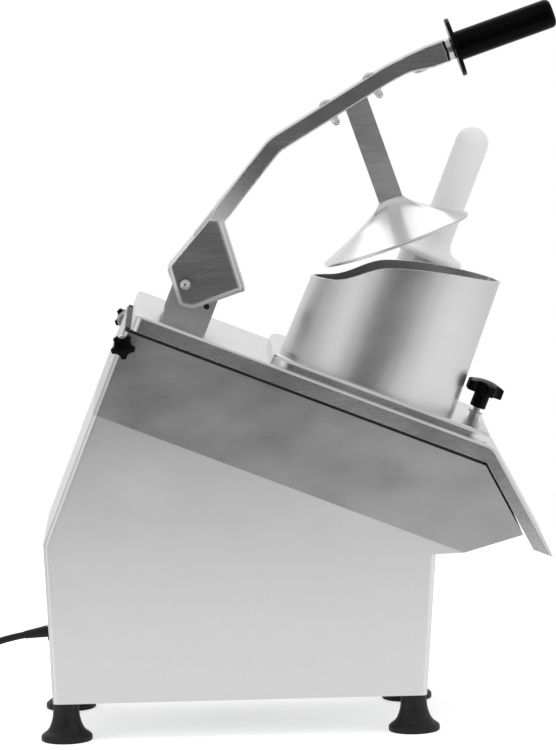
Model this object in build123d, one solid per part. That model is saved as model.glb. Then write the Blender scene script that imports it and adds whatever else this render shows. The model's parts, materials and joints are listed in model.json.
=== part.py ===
from build123d import *
import os
from math import atan2, cos, degrees, pi, radians, sin, tan

# Electric vegetable cutter, lengths in millimetres, angles in degrees.
# The drive axis leans forward. The deck frame has its origin where that axis meets the joint between
# body and cover: p runs down the slope to the front, q runs along the drive axis, y is sideways.

# Deck and body
deck_slope = 22.2
axis_x = 57.1
axis_z = 322.9
body_width = 230.0
wall = 4.0
deck_plate = 5.0
rear_reach = 253.5
apron_angle = 41.0
front_face = 80.0
seam_depth = 90.0
seam_overhang = 11.7
corner_radius = 6.0

# Lower housing
foot_height = 39.0
bend_height = 203.0
rear_taper = 1.65
front_taper = 4.7
bottom_front = 117.5
ledge_height = 183.7
side_draft = 2.5
plate_thick = 3.0
foot_front_setback = 13.2
foot_rear_setback = 12.9025
foot_y = 88.0
foot_radius = 26.0
foot_neck = 13.5
foot_bolt = 4.0
boss_radius = 11.0
boss_height = 28.0
screw_gap = 0.15
vent_count = 7
vent_length = 60.0
vent_width = 5.0
vent_pitch = 13.0

# Cutting bowl and chute
bowl_radius = 106.0
bowl_depth = 62.0
chute_half = 75.0
chute_overlap = 11.0
lip_rear = 8.0
lip_front = 5.5

# Cover
joint_gap = 3.0
gasket_thick = 2.6
gasket_inset = 0.8
gasket_width = 7.0
cover_setback = 5.5
cover_height = 20.0
apron_stand = 16.0
apron_gap = 2.0
apron_depth = 63.0
cover_wall = 4.0
cover_bend = 20.0
cover_edge = 3.5
cover_corner = 9.0
platform_height = 10.0
platform_rear_edge = 8.0
platform_front_edge = 14.0
platform_side_edge = 9.0
platform_corner = 22.0
platform_edge = 5.0

# Hopper, feed tube and push stick
hopper_inset = 6.5
hopper_draft = 1.6
hopper_wall = 3.0
hopper_flat_y = 8.0
hopper_corner = 22.0
rim_rear = 105.0
rim_step = 115.0
rim_shoulder = 150.3
rim_front = 171.5
step_p = -76.0
shoulder_p = -24.0
tube_p = 18.0
tube_y = 52.0
tube_radius = 30.0
tube_wall = 2.0
tube_rim = 163.0
disc_gap = 2.0
stick_play = 0.6
stick_cap = 35.0
stick_cap_thick = 7.0
stick_grip = 17.0
stick_top = 306.0
plunger_end = 24.0

# Cover hinge and star knobs
hinge_inset = 4.3
hinge_drop = 14.0
hinge_pin = 3.0
pin_play = 0.05
lug_radius = 8.5
lug_thick = 11.0
lug_gap = 1.5
hinge_boss = 9.0
boss_stand = 2.0
washer_thick = 1.5
side_knob = 12.5
side_knob_hub = 6.0
clamp_setback = 18.0
clamp_stud = 4.0
clamp_play = 1.0
clamp_nut = 10.0
clamp_knob_radius = 20.0
clamp_hub = 8.0
clamp_neck = 11.0
clamp_grip_height = 12.0

# Lever, drawn with its press plate flat over the disc and then swung up
lever_raised = 40.5
pivot_p = -209.6
pivot_q = 57.1
pivot_bolt = 4.0
bracket_length = 47.5
bracket_half = 25.0
bracket_thick = 3.0
bracket_ear = 10.5
bracket_rise = 33.0
spacer_radius = 3.0
spacer_a = 28.5
spacer_b = -14.5
fork_half = 30.0
fork_wall = 4.0
fork_rear = 15.0
fork_front = 55.0
fork_floor = 28.4
fork_round = 7.0
fork_slot = 10.0
arm_half = 12.5
arm_depth = 16.8
bend_a = 132.8
bend_b = 100.3
bend_radius = 38.0
arm_end_a = 278.0
arm_end_b = 132.0
arm_end_radius = 210.0
socket_start = 286.0
socket_full = 312.0
socket_flat = 329.0
socket_radius = 11.3
stop_a = 298.5
stop_radius = 8.5
stop_stand = 4.6
stem_a = 225.3
stem_length = 25.0
stem_far = -1.0
stem_width = 11.0
stem_foot = 42.0
plate_shift = 7.2
plate_end_gap = 18.2
plate_side_gap = 14.0
plate_corner = 14.0
plate_drop = 30.0
plate_waist = 0.55
waist_rise = 17.0
rim_thick = 3.0
plate_flat_gap = 6.5
guard_a = 339.3
guard_radius = 30.5
guard_thick = 4.5
grip_radius = 15.0
grip_length = 103.0
bolt_pitch = 50.8
bolt_setback = 3.2
lever_bolt = 3.0
nut_hold = 6.4
foot_plate = 4.0
foot_overhang = 8.0
foot_edge = 3.0

# Cutting disc, ejector and shaft
disc_edge_gap = 3.5
disc_top = 14.0
disc_thick = 3.0
hub_radius = 20.0
hub_cap = 3.0
blade_count = 3
blade_length = 70.0
blade_width = 18.0
blade_thick = 1.5
blade_screw_core = 2.0
blade_screw_head = 3.4
ejector_gap = 8.0
ejector_plate = 4.0
ejector_low = -56.0
ejector_high = -30.0
fin_count = 4
fin_thick = 5.0
fin_height = 18.0
shaft_radius = 10.0
shaft_collar = 12.5
pin_radius = 3.0
pin_length = 34.0

# Bearing housing and belt drive
bearing_radius = 23.5
bearing_width = 14.0
housing_radius = 30.0
flange_radius = 45.0
flange_thick = 7.0
flange_bolt_circle = 37.5
spigot_radius = 18.0
seal_radius = 16.0
bearing_span = 68.0
belt_q = -192.0
belt_height = 7.0
belt_half = 5.0
belt_gap = 0.4
big_pulley = 84.0
small_pulley = 16.5
pulley_half = 9.0
motor_p = -168.0
motor_radius = 58.0
motor_low = -165.0
motor_high = -45.0
motor_shaft = 8.0
motor_shaft_play = 0.3
motor_edge = 8.0
motor_shoulder = 14.0
motor_rib_depth = 4.0
motor_rib_width = 3.0
motor_rib_start = 16.0
motor_rib_end = 24.0
motor_bolt_inset = 16.0
machine_bolt = 3.0
machine_bolt_head = 4.0
machine_bolt_hex = 5.6
machine_bolt_length = 12.0
leg_half = 72.0
bracket_sheet = 4.0
bracket_flange = 18.0
bracket_bore = 22.0
bracket_shift = 4.0
capacitor_radius = 17.0
capacitor_length = 70.0
capacitor_low = -110.0

# Switches on the far wall
switch_x = 20.0
switch_z = 112.0
switch_pitch = 34.0
panel_length = 84.0
panel_height = 46.0
panel_stand = 115.0
button_radius = 9.5
button_stem = 7.0
button_stand = 6.0
button_travel = 3.0
button_play = 0.4
block_back = 28.0
block_depth = 12.0
block_length = 64.0
block_height = 34.0

# Mains cord: the route's points stay as chosen
cord_diameter = 7.2
gland_z = 97.0
gland_radius = 10.0
gland_flange = 4.5
gland_tilt = 8.0
relief_length = 24.0
cord_route = [
    (-320.0, 1.5, 88.4),
    (-344.0, 5.5, 74.0),
    (-360.0, 11.0, 51.0),
    (-373.0, 18.0, 28.0),
    (-391.0, 25.0, 11.5),
    (-414.0, 31.5, 4.6),
    (-440.0, 43.0, 3.8),
]
coil_centre = (-425.0, 88.0)
coil_radius = 41.0
coil_width = 22.0
coil_height = 15.0
plug_centre = (-425.0, 88.0)
plug_radius = 18.0
plug_length = 34.0
plug_pin = 2.4
plug_pin_length = 19.0

slope = radians(deck_slope)
down_deck = Vector(cos(slope), 0, -sin(slope))
deck_normal = Vector(sin(slope), 0, cos(slope))
sideways = Vector(0, 1, 0)
deck = Plane(origin=(axis_x, 0, axis_z), x_dir=down_deck, z_dir=deck_normal)
deck_side = Plane(origin=deck.origin, x_dir=down_deck, z_dir=-sideways)
deck_end = Plane(origin=deck.origin, x_dir=sideways, z_dir=down_deck)
body_half = body_width / 2
cover_rear = rear_reach - cover_setback
ejector_radius = bowl_radius - ejector_gap
disc_radius = bowl_radius - disc_edge_gap
hopper_radius = disc_radius - hopper_inset
clamp_p = hopper_radius + clamp_knob_radius
front_reach = clamp_p + clamp_setback
seam_front = front_reach + seam_overhang
chute_start = bowl_radius - chute_overlap
platform_rear = hopper_radius + platform_rear_edge
platform_front = clamp_p + platform_front_edge
platform_half = body_half - platform_side_edge
platform_top = cover_height + platform_height
hopper_low = disc_top + disc_gap
lug_out = body_half - wall - lug_gap
motor_bracket_p = motor_p - bracket_shift
stem_p = pivot_p + stem_a
stem_y = stem_far - stem_width / 2
bolts_a = stem_a - bolt_setback
grip_b = arm_end_b - 0.7
hinge_p = hinge_inset - rear_reach
hinge_q = -hinge_drop
tiny = 0.01
far = 400.0
CENTRE_LOW = (Align.CENTER, Align.CENTER, Align.MIN)


def deck_point(p, q, y=0.0):
    """Place in the machine's frame of a point given along and off the deck."""
    return deck.from_local_coords((p, y, q))


def prism(plane, points, low_y, high_y):
    """Solid with a straight side outline, between two places across the machine."""
    face = plane * make_face(Polyline(*points, close=True))
    return extrude(Pos(0, high_y, 0) * face, amount=high_y - low_y, dir=(0, -1, 0))


def slab(plane, face, low_y, high_y):
    """The same from a ready side face."""
    return extrude(Pos(0, high_y, 0) * (plane * face), amount=high_y - low_y, dir=(0, -1, 0))


def turned(points):
    """Solid of revolution about Z from points of radius and height."""
    return revolve(Plane.XZ * make_face(Polyline(*points, close=True)), Axis.Z)


def rod(radius, length, edge=0.0):
    """Round bar standing on its origin, with its far end broken."""
    bar = Cylinder(radius, length, align=CENTRE_LOW)
    if edge:
        bar = fillet(bar.edges().group_by(Axis.Z)[-1], edge)
    return bar


def on_deck(p, y, q, shape):
    return deck * Pos(p, y, q) * shape


def group(solids):
    return Compound([part for solid in solids for part in solid.solids()])


def across(p, q, y, side, shape):
    """Place a shape made along Z so that it points out sideways from the deck's point."""
    turn = -90 if side > 0 else 90
    return deck * Pos(p, y, q) * Rot(turn, 0, 0) * shape


# Outlines of the body
apron = radians(apron_angle)
nose = (front_reach + front_face * cos(apron), -front_face * sin(apron))
underside = Vector(nose[0] - seam_front, nose[1] + seam_depth).normalized()
out_of_underside = Vector(underside.Y, -underside.X)
bend_q = (bend_height - axis_z - rear_reach * sin(slope)) / cos(slope)
bend = deck_point(-rear_reach, bend_q)
bottom_rear_x = bend.X + (bend_height - foot_height) * tan(radians(rear_taper))
foot_rear_x = bottom_rear_x + foot_rear_setback
foot_front_x = bottom_front - foot_front_setback
front_top_x = bottom_front + (ledge_height - foot_height) * tan(radians(front_taper))
seam_rear_point = deck_point(-rear_reach, -seam_depth)
seam_front_point = deck_point(seam_front, -seam_depth)


def draft_room(inset, rise):
    """Room between the two sides, which come together below the seam."""
    top = body_half - inset
    drop = seam_depth + far
    low = top - far * tan(radians(side_draft))
    points = [(-top, rise), (top, rise), (top, -seam_depth), (low, -drop), (-low, -drop), (-top, -seam_depth)]
    return extrude(deck_end * make_face(Polyline(*points, close=True)), amount=far, both=True)


def base_outline():
    points = [
        (seam_rear_point.X, seam_rear_point.Z),
        (bend.X, bend.Z),
        (bottom_rear_x, foot_height),
        (bottom_front, foot_height),
        (front_top_x, ledge_height),
        (seam_front_point.X, seam_front_point.Z),
    ]
    return make_face(Polyline(*points, close=True))


def base_outside():
    form = slab(Plane.XZ, base_outline(), -body_half, body_half) & draft_room(0.0, 0.0)
    steep = [e for e in form.edges() if abs((e % 0.5).Z) > 0.85 and abs(e.center().Y) > body_half - 20]
    return fillet(steep, corner_radius)


def base_inside(reach):
    """Hollow of the lower housing, open through its seam and its bottom."""
    core = slab(Plane.XZ, offset(base_outline(), -wall), -body_half, body_half)
    mouth = [
        (bottom_rear_x + wall, foot_height - reach),
        (bottom_rear_x + wall, foot_height + 2 * wall),
        (bottom_front - wall, foot_height + 2 * wall),
        (bottom_front - wall, foot_height - reach),
    ]
    top = [
        (wall - rear_reach, reach - seam_depth),
        (bowl_radius, reach - seam_depth),
        (bowl_radius, -seam_depth - 2 * wall),
        (wall - rear_reach, -seam_depth - 2 * wall),
    ]
    core += prism(Plane.XZ, mouth, -body_half, body_half)
    core += prism(deck_side, top, -body_half, body_half)
    return core & draft_room(wall, 2 * wall)


feet = [(x, y) for x in (foot_rear_x, foot_front_x) for y in (-foot_y, foot_y)]
plate_low = foot_height
plate_high = plate_low + plate_thick


def base_housing():
    shell = base_outside() - base_inside(tiny)
    inside = base_inside(0.0)
    for x, y in feet:
        boss = Pos(x, y, plate_high) * rod(boss_radius, boss_height)
        shell += boss & inside
        shell -= Pos(x, y, plate_high - 1) * rod(foot_bolt, boss_height - wall)
    for place in button_places():
        shell -= place * rod(button_stem + button_play, 3 * wall)
    shell -= Pos(bottom_rear_x, 0, gland_z) * Rot(0, -90, 0) * Cylinder(gland_radius - 2, 8 * wall)
    return shell


def button_places():
    """Where each push button's stem crosses the far wall, pointing out."""
    inner = panel_stand - 3 * wall
    return [
        Pos(switch_x + side * switch_pitch / 2, inner, switch_z) * Rot(-90, 0, 0)
        for side in (-1, 1)
    ]


def bottom_plate():
    rear = bottom_rear_x + wall + 0.5
    front = bottom_front - wall - 0.5
    points = [(rear, plate_low), (rear, plate_high), (front, plate_high), (front, plate_low)]
    plate = prism(Plane.XZ, points, -body_half, body_half) & draft_room(wall + 0.4, 0.0)
    for x, y in feet:
        plate -= Pos(x, y, plate_low - 1) * rod(foot_bolt + screw_gap, plate_thick + 2)
    for x in vent_places():
        plate -= Pos(x, 0, plate_low) * extrude(SlotOverall(vent_length, vent_width, rotation=90), plate_thick)
    return plate


def vent_places():
    middle = (foot_rear_x + foot_front_x) / 2
    return [middle + (i - (vent_count - 1) / 2) * vent_pitch for i in range(vent_count)]


def foot():
    """Moulded rubber foot: a straight neck that flares to a round pad, hollow below for its bolt."""
    neck = Line((foot_neck, plate_low), (foot_neck, 27))
    flare = ThreePointArc((foot_neck, 27), (foot_neck + 3.2, 15), (foot_radius - 2, 7))
    rim = Polyline((foot_radius - 2, 7), (foot_radius, 5), (foot_radius, 1), (foot_radius - 1, 0))
    base = Polyline((foot_radius - 1, 0), (9, 0), (9, 14), (foot_bolt + screw_gap, 14))
    core = Polyline((foot_bolt + screw_gap, 14), (foot_bolt + screw_gap, plate_low), (foot_neck, plate_low))
    return revolve(Plane.XZ * make_face(neck + flare + rim + base + core), Axis.Z)


def foot_bolts():
    length = plate_high + boss_height - wall - 3 - 14
    bolt = Pos(0, 0, 14) * rod(foot_bolt - screw_gap, length) + Pos(0, 0, 6) * rod(6.5, 8)
    bolt -= Pos(0, 0, 6) * extrude(RegularPolygon(3.5, 6), 4)
    return group([Pos(x, y, 0) * bolt for x, y in feet])


# Cutting chamber
def chamber_outline():
    points = [
        (-rear_reach, 0),
        (front_reach, 0),
        nose,
        (seam_front, -seam_depth),
        (-rear_reach, -seam_depth),
    ]
    return make_face(Polyline(*points, close=True))


def chute_points(grow, reach):
    """Side outline of the discharge channel, grown outwards by one wall for its outside."""
    rear = Vector(seam_front, -seam_depth) + underside * (lip_rear - grow)
    front = Vector(*nose) - underside * (lip_front - grow)
    out = out_of_underside * reach
    top_p = front_reach - (wall - grow) / sin(apron) + deck_plate / tan(apron)
    return [
        (0, -bowl_depth - grow),
        (chute_start, -bowl_depth - grow),
        (rear.X, rear.Y),
        (rear.X + out.X, rear.Y + out.Y),
        (front.X + out.X, front.Y + out.Y),
        (front.X, front.Y),
        (top_p, -deck_plate),
        (0, -deck_plate),
    ]


def chamber_housing():
    """Casting with the round bowl, the discharge channel and the deck that carries the cover."""
    form = slab(deck_side, chamber_outline(), -body_half, body_half)
    rear = [e for e in form.edges() if abs((e % 0.5).Z) > 0.85 and e.center().X < 0 and abs(e.center().Y) > 1]
    form = fillet(rear, corner_radius)
    room = body_half - wall
    pocket = slab(deck_side, offset(chamber_outline(), -wall), -room, room)
    under_deck = [
        (wall - rear_reach, -deck_plate),
        (bowl_radius, -deck_plate),
        (bowl_radius, -seam_depth - tiny),
        (wall - rear_reach, -seam_depth - tiny),
    ]
    pocket += prism(deck_side, under_deck, -room, room)
    pocket &= on_deck(0, 0, -deck_plate - far, Box(2 * far, 2 * far, far, align=CENTRE_LOW))
    bowl_skin = on_deck(0, 0, -bowl_depth - wall, rod(bowl_radius + wall, bowl_depth + wall))
    chute_skin = prism(deck_side, chute_points(wall, 1.0), -chute_half - wall, chute_half + wall)
    casting = form - (pocket - bowl_skin - chute_skin)
    casting -= on_deck(0, 0, -bowl_depth, rod(bowl_radius, bowl_depth + 1))
    casting -= prism(deck_side, chute_points(0.0, 3 * wall), -chute_half, chute_half)
    casting -= on_deck(0, 0, -bowl_depth - 2 * wall, rod(spigot_radius + 0.1, 3 * wall))
    casting += on_deck(clamp_p, 0, -clamp_nut, rod(clamp_stud + 4, clamp_nut - 1))
    casting -= on_deck(clamp_p, 0, -clamp_nut - 1, rod(clamp_stud + clamp_play, clamp_nut + 2))
    for side in (-1, 1):
        low, high = sorted((side * (lug_out + lug_gap), side * (lug_out - lug_thick - lug_gap)))
        notch = [
            (-rear_reach - 1, 1),
            (hinge_p + 2.4 * lug_radius, 1),
            (hinge_p + 2.4 * lug_radius, hinge_q - lug_radius - 2 * lug_gap),
            (-rear_reach - 1, hinge_q - lug_radius - 2 * lug_gap),
        ]
        casting -= prism(deck_side, notch, low, high)
        casting += across(hinge_p, hinge_q, side * (body_half - wall), side, rod(hinge_boss, wall + boss_stand))
        casting -= across(hinge_p, hinge_q, side * (lug_out + 0.1), side, rod(hinge_pin + pin_play, 3 * wall))
    return casting


def lid_gasket():
    """Rubber strip on the body's rim that the cover closes on."""
    low = (gasket_inset - rear_reach, gasket_inset - body_half)
    high = (front_reach - gasket_inset, body_half - gasket_inset)
    middle = (low[0] + high[0]) / 2
    strip = Pos(middle, 0) * RectangleRounded(high[0] - low[0], high[1] - low[1], corner_radius)
    hole = Pos(middle, 0) * Rectangle(high[0] - low[0] - 2 * gasket_width, high[1] - low[1] - 2 * gasket_width)
    ring = deck * extrude(strip - hole, gasket_thick)
    notch = [(-rear_reach, -1), (-rear_reach, 9), (hinge_p + 2.4 * lug_radius, 9), (hinge_p + 2.4 * lug_radius, -1)]
    for side in (-1, 1):
        low_y, high_y = sorted((side * (lug_out + lug_gap), side * (lug_out - lug_thick - lug_gap)))
        ring -= prism(deck_side, notch, low_y, high_y)
    return ring


# Cover
def cover_outline():
    """Side outline of the cover: flat top, bend and the apron that hangs over the front face."""
    outer = front_reach + apron_stand / sin(apron)
    inner = front_reach + apron_gap / sin(apron)
    per_depth = 1 / tan(apron)
    points = [
        (-cover_rear, joint_gap),
        (-cover_rear, cover_height),
        (outer - cover_height * per_depth, cover_height),
        (outer + apron_depth * per_depth, -apron_depth),
        (inner + apron_depth * per_depth, -apron_depth),
        (inner - joint_gap * per_depth, joint_gap),
    ]
    return make_face(Polyline(*points, close=True))


def hopper_plan(inset):
    """D-shaped plan about the drive axis, flat on the side of the feed tube."""
    disc = Circle(hopper_radius)
    keep = Pos(0, hopper_flat_y - hopper_radius) * Rectangle(3 * hopper_radius, 2 * hopper_radius)
    plan = disc & keep
    plan = fillet(plan.vertices(), hopper_corner)
    if inset:
        plan = offset(plan, -inset)
    return plan


def cover_shell():
    """Cast cover, hollow below, with the raised platform that carries hopper and tube."""
    form = slab(deck_side, cover_outline(), -body_half, body_half)
    bend_line = deck_point(front_reach, cover_height)
    top_front = form.edges().filter_by(Axis.Y).sort_by(lambda e: (e.center() - bend_line).length)
    form = fillet(top_front[0], cover_bend)
    rear = [e for e in form.edges() if abs((e % 0.5).Z) > 0.85 and e.center().X < 0 and abs(e.center().Y) > 1]
    form = fillet(rear, cover_corner)
    level = form.faces().filter_by(lambda f: (f.normal_at() - deck_normal).length < 0.01)
    top_face = level.sort_by(SortBy.AREA)[-1]
    rounded = [e for e in top_face.edges() if abs((e % 0.5).Y) < 0.999 or e.center().X < 0]
    form = fillet(rounded, cover_edge)
    length = platform_front + platform_rear
    middle = (platform_front - platform_rear) / 2
    plan = Pos(middle, 0) * RectangleRounded(length, 2 * platform_half, platform_corner)
    rise = extrude(plan, platform_height)
    rise = fillet(rise.edges().group_by(Axis.Z)[-1], platform_edge)
    form += on_deck(0, 0, cover_height, rise)
    room = body_half - cover_wall
    hollow = slab(deck_side, offset(cover_outline(), -cover_wall), -room, room)
    slit = [
        (cover_wall - cover_rear, joint_gap - 1),
        (cover_wall - cover_rear, joint_gap + 2 * cover_wall),
        (front_reach, joint_gap + 2 * cover_wall),
        (front_reach - cover_wall, joint_gap - 1),
    ]
    hollow += prism(deck_side, slit, -room, room)
    inner_plan = Pos(middle, 0) * RectangleRounded(
        length - 2 * cover_wall, 2 * (platform_half - cover_wall), platform_corner - cover_wall
    )
    hollow += on_deck(0, 0, cover_height - cover_wall - 1, extrude(inner_plan, platform_height + 1))
    shell = form - hollow
    shell -= on_deck(0, 0, joint_gap, extrude(hopper_plan(0), hopper_low - joint_gap))
    shell -= hopper_form(0)
    shell -= on_deck(tube_p, tube_y, joint_gap, rod(tube_radius, platform_height + 2 * cover_height))
    shell += on_deck(clamp_p, 0, cover_height - cover_wall, rod(clamp_hub, platform_height + 1))
    shell -= on_deck(clamp_p, 0, 0, rod(clamp_stud + 0.5, platform_height + 2 * cover_height))
    return shell


def hinge_lugs():
    """Two ears under the cover's rear edge that turn on the knobs' pins."""
    top = cover_height - cover_wall
    ear = make_face(Polyline(
        (cover_wall - cover_rear, top),
        (cover_wall - cover_rear, hinge_q + lug_radius),
        (hinge_p, hinge_q + lug_radius),
        (hinge_p, hinge_q),
        (hinge_p + 2 * lug_radius, joint_gap),
        (hinge_p + 2 * lug_radius, top),
        close=True,
    ))
    ear = ear + Pos(hinge_p, hinge_q) * Circle(lug_radius)
    ear = ear - Pos(hinge_p, hinge_q) * Circle(hinge_pin + pin_play)
    lugs = [slab(deck_side, ear, lug_out - lug_thick, lug_out)]
    lugs.append(slab(deck_side, ear, -lug_out, lug_thick - lug_out))
    return group(lugs)


def rim_cutter():
    """Everything above the hopper's rim, which climbs over a shoulder to the front."""
    reach = hopper_radius + 10
    rear = Line((-reach, rim_rear), (step_p, rim_step))
    climb = Spline((step_p, rim_step), (shoulder_p, rim_shoulder), tangents=[(3, 1), (1, 0.36)])
    front = Spline((shoulder_p, rim_shoulder), (reach, rim_front), tangents=[(1, 0.36), (1, 0.02)])
    back = Polyline((reach, rim_front), (reach, far), (-reach, far), (-reach, rim_rear))
    return slab(deck_side, make_face(rear + climb + front + back), -2 * hopper_radius, hopper_radius)


def hopper_form(inset):
    """Full block of the hopper, which narrows a little towards its rim."""
    return on_deck(0, 0, hopper_low, extrude(hopper_plan(inset), 2 * hopper_radius, taper=hopper_draft))


def feed_hopper():
    return hopper_form(0) - hopper_form(hopper_wall) - rim_cutter()


def feed_tube():
    ring = Circle(tube_radius) - Circle(tube_radius - tube_wall)
    return on_deck(tube_p, tube_y, hopper_low, extrude(ring, tube_rim - hopper_low))


def push_stick():
    """Moulded pusher: plunger in the tube, a cap on its rim and a rounded handle."""
    plunger = tube_radius - tube_wall - stick_play
    cap_top = tube_rim + stick_cap_thick
    neck_q = cap_top + 16
    shoulder = stick_top - stick_grip
    outside = Polyline((0, plunger_end), (plunger, plunger_end), (plunger, tube_rim), (stick_cap, tube_rim))
    outside += Polyline((stick_cap, tube_rim), (stick_cap, tube_rim + 3))
    outside += ThreePointArc((stick_cap, tube_rim + 3), (stick_cap - 1.5, cap_top - 1), (stick_cap - 5, cap_top))
    outside += Spline((stick_cap - 5, cap_top), (stick_grip, neck_q), tangents=[(-1, 0.25), (0, 1)])
    outside += Line((stick_grip, neck_q), (stick_grip, shoulder))
    turn = stick_grip * sin(radians(45))
    outside += ThreePointArc((stick_grip, shoulder), (turn, shoulder + turn), (0, stick_top))
    outside += Line((0, stick_top), (0, plunger_end))
    body = revolve(Plane.XZ * make_face(outside), Axis.Z)
    return deck * Pos(tube_p, tube_y, 0) * body


# Lever and what it carries
def swung_up(shape):
    """Move a lever piece from its lowered drawing place to the raised rest pose."""
    return shape.rotate(Axis(deck_point(pivot_p, pivot_q), -sideways), lever_raised)


def lever_slab(face, low_y, high_y):
    return slab(deck_side, Pos(pivot_p, pivot_q) * face, low_y, high_y)


bracket_rear = pivot_p - bracket_ear
bracket_front = bracket_rear + bracket_length


def lever_bracket():
    """Folded plate on the cover with two cheeks for the pivot bolt."""
    middle = (bracket_rear + bracket_front) / 2
    base = Pos(middle, cover_height + bracket_thick / 2) * Rectangle(bracket_length, bracket_thick)
    upright = Pos(middle, cover_height + bracket_rise / 2) * Rectangle(bracket_length, bracket_rise)
    ear = Pos(pivot_p, pivot_q) * Circle(bracket_ear)
    cheek = make_hull(upright.edges() + ear.edges())
    bracket = slab(deck_side, base, -bracket_half, bracket_half)
    for side in (-1, 1):
        low, high = sorted((side * bracket_half, side * (bracket_half - bracket_thick)))
        bracket += slab(deck_side, cheek, low, high)
    bracket -= across(pivot_p, pivot_q, -2 * fork_half, 1, rod(pivot_bolt, 4 * fork_half))
    bracket -= across(pivot_p + spacer_a, pivot_q + spacer_b, -2 * fork_half, 1, rod(spacer_radius, 4 * fork_half))
    for p, y in bracket_screw_places():
        bracket -= on_deck(p, y, cover_height - 1, rod(2.5 + screw_gap, 3 * bracket_thick))
    return bracket


def bracket_screw_places():
    middle = (bracket_rear + bracket_front) / 2
    return [(middle + i * 15, j * 12) for i in (-1, 1) for j in (-1, 1)]


def bracket_screws():
    screw = rod(4.5, 2.6, 1.2) + Pos(0, 0, -bracket_thick) * rod(2.5, bracket_thick)
    return group([on_deck(p, y, cover_height + bracket_thick, screw) for p, y in bracket_screw_places()])


def pivot_pin():
    """Bolt through fork and bracket with a domed nut on the near side."""
    reach = fork_half + 0.4
    pin = across(pivot_p, pivot_q, -reach, 1, rod(pivot_bolt, 2 * reach))
    head = rod(7.5, 1.2) + Pos(0, 0, 1.2) * extrude(RegularPolygon(6.5, 6), 5)
    near = head + Pos(0, 0, 6.2) * (Sphere(5.6) & Cylinder(8, 12, align=CENTRE_LOW))
    pin += across(pivot_p, pivot_q, -reach, -1, near)
    pin += across(pivot_p, pivot_q, reach, 1, head)
    return pin


def bracket_spacer():
    """Blackened bar that keeps the two cheeks apart."""
    return across(
        pivot_p + spacer_a, pivot_q + spacer_b, -bracket_half, 1, rod(spacer_radius, 2 * bracket_half)
    )


def fork_face(inset):
    """Side face of the fork: flat floor, upright front, and a sloping top that runs into the arm."""
    top_rear = (-fork_rear + 2.5, 19.3)
    top_front = (fork_front + 3, 47.0)
    face = make_face(Polyline(
        (-fork_rear, 8 - fork_floor),
        top_rear,
        (top_front[0] - 13, 53.2),
        top_front,
        (fork_front, -fork_floor),
        (-2, -fork_floor),
        close=True,
    ))
    for corner, radius in (((-2, -fork_floor), 14), ((-fork_rear, 8 - fork_floor), 8), ((fork_front, -fork_floor), 3)):
        face = fillet(face.vertices().sort_by_distance((*corner, 0))[0], radius)
    return offset(face, -inset) if inset else face


def arm_face():
    """Side face of the arm: one band along a bent centre line that swells into the grip's socket."""
    line = FilletPolyline(
        (28, 35.3), (bend_a, bend_b), (arm_end_a, arm_end_b), (socket_flat, arm_end_b),
        radius=(bend_radius, arm_end_radius),
    )
    half = arm_depth / 2
    socket = make_face(Polyline(
        (socket_start, arm_end_b - half), (socket_full, grip_b - socket_radius),
        (socket_flat, grip_b - socket_radius), (socket_flat, grip_b + socket_radius),
        (socket_full, grip_b + socket_radius), (socket_start, arm_end_b + half),
        close=True,
    ))
    return trace(line, arm_depth) + socket


def along_grip(a, shape):
    """Place a shape made along Z on the grip's axis, pointing out to the grip's end."""
    return deck * Pos(pivot_p + a, 0, pivot_q + grip_b) * Rot(0, 90, 0) * shape


def lever_arm():
    """Cast lever: hollow fork open below and in front of the pivot, and a solid bent arm."""
    block = lever_slab(fork_face(0), -fork_half, fork_half)
    middle = deck_point(pivot_p, pivot_q)
    rear = [e for e in block.edges() if abs((e % 0.5).Y) < 0.1 and (e.center() - middle).dot(down_deck) < 0]
    block = fillet(rear, fork_round)
    room = fork_half - fork_wall
    inner_low = 8 - fork_floor + fork_wall
    hollow = lever_slab(fork_face(fork_wall), -room, room)
    mouth = make_face(Polyline(
        (fork_wall - fork_rear, -2 * fork_floor),
        (fork_wall - fork_rear, inner_low),
        (fork_front - fork_wall, inner_low),
        (fork_front - fork_wall, -2 * fork_floor),
        close=True,
    ))
    slot = make_face(Polyline(
        (-fork_rear - 1, -2 * fork_floor), (-fork_rear - 1, fork_slot), (0, fork_slot), (0, -2 * fork_floor),
        close=True,
    ))
    hollow += lever_slab(mouth, -room, room) + lever_slab(slot, -room, room)
    lever = block + lever_slab(arm_face(), -arm_half, arm_half) - hollow
    lever += along_grip(socket_full, rod(socket_radius, guard_a - guard_thick / 2 - socket_full))
    stop = Pos(0, 0, -arm_depth / 2 - stop_stand) * rod(stop_radius, stop_stand + 2)
    stop = fillet(stop.edges().group_by(Axis.Z)[0], stop_stand - 1)
    lever += deck * Pos(pivot_p + stop_a, 0, pivot_q + arm_end_b) * stop
    lever -= across(pivot_p, pivot_q, -2 * fork_half, 1, rod(pivot_bolt + pin_play, 4 * fork_half))
    lever -= foot_block(pin_play)
    for a in bolt_places():
        lever -= lever_hole(a, lever_bolt + screw_gap)
    lever -= guard_bar(3.0 + screw_gap)
    return swung_up(lever)


def arm_angle():
    return degrees(atan2(arm_end_b - bend_b, arm_end_a - bend_a))


def arm_height(a):
    """Centre line of the arm's long straight stretch."""
    return bend_b + (a - bend_a) * tan(radians(arm_angle()))


def bolt_places():
    return (bolts_a - bolt_pitch / 2, bolts_a + bolt_pitch / 2)


def square_to_arm(a, lift):
    """Place on the arm at a, lifted square to its long stretch."""
    tilt = radians(arm_angle())
    p = pivot_p + a - lift * sin(tilt)
    q = pivot_q + arm_height(a) + lift * cos(tilt)
    return deck * Pos(p, 0, q) * Rot(0, -arm_angle(), 0)


def lever_hole(a, radius):
    return square_to_arm(a, -arm_depth) * rod(radius, 2 * arm_depth)


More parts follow.
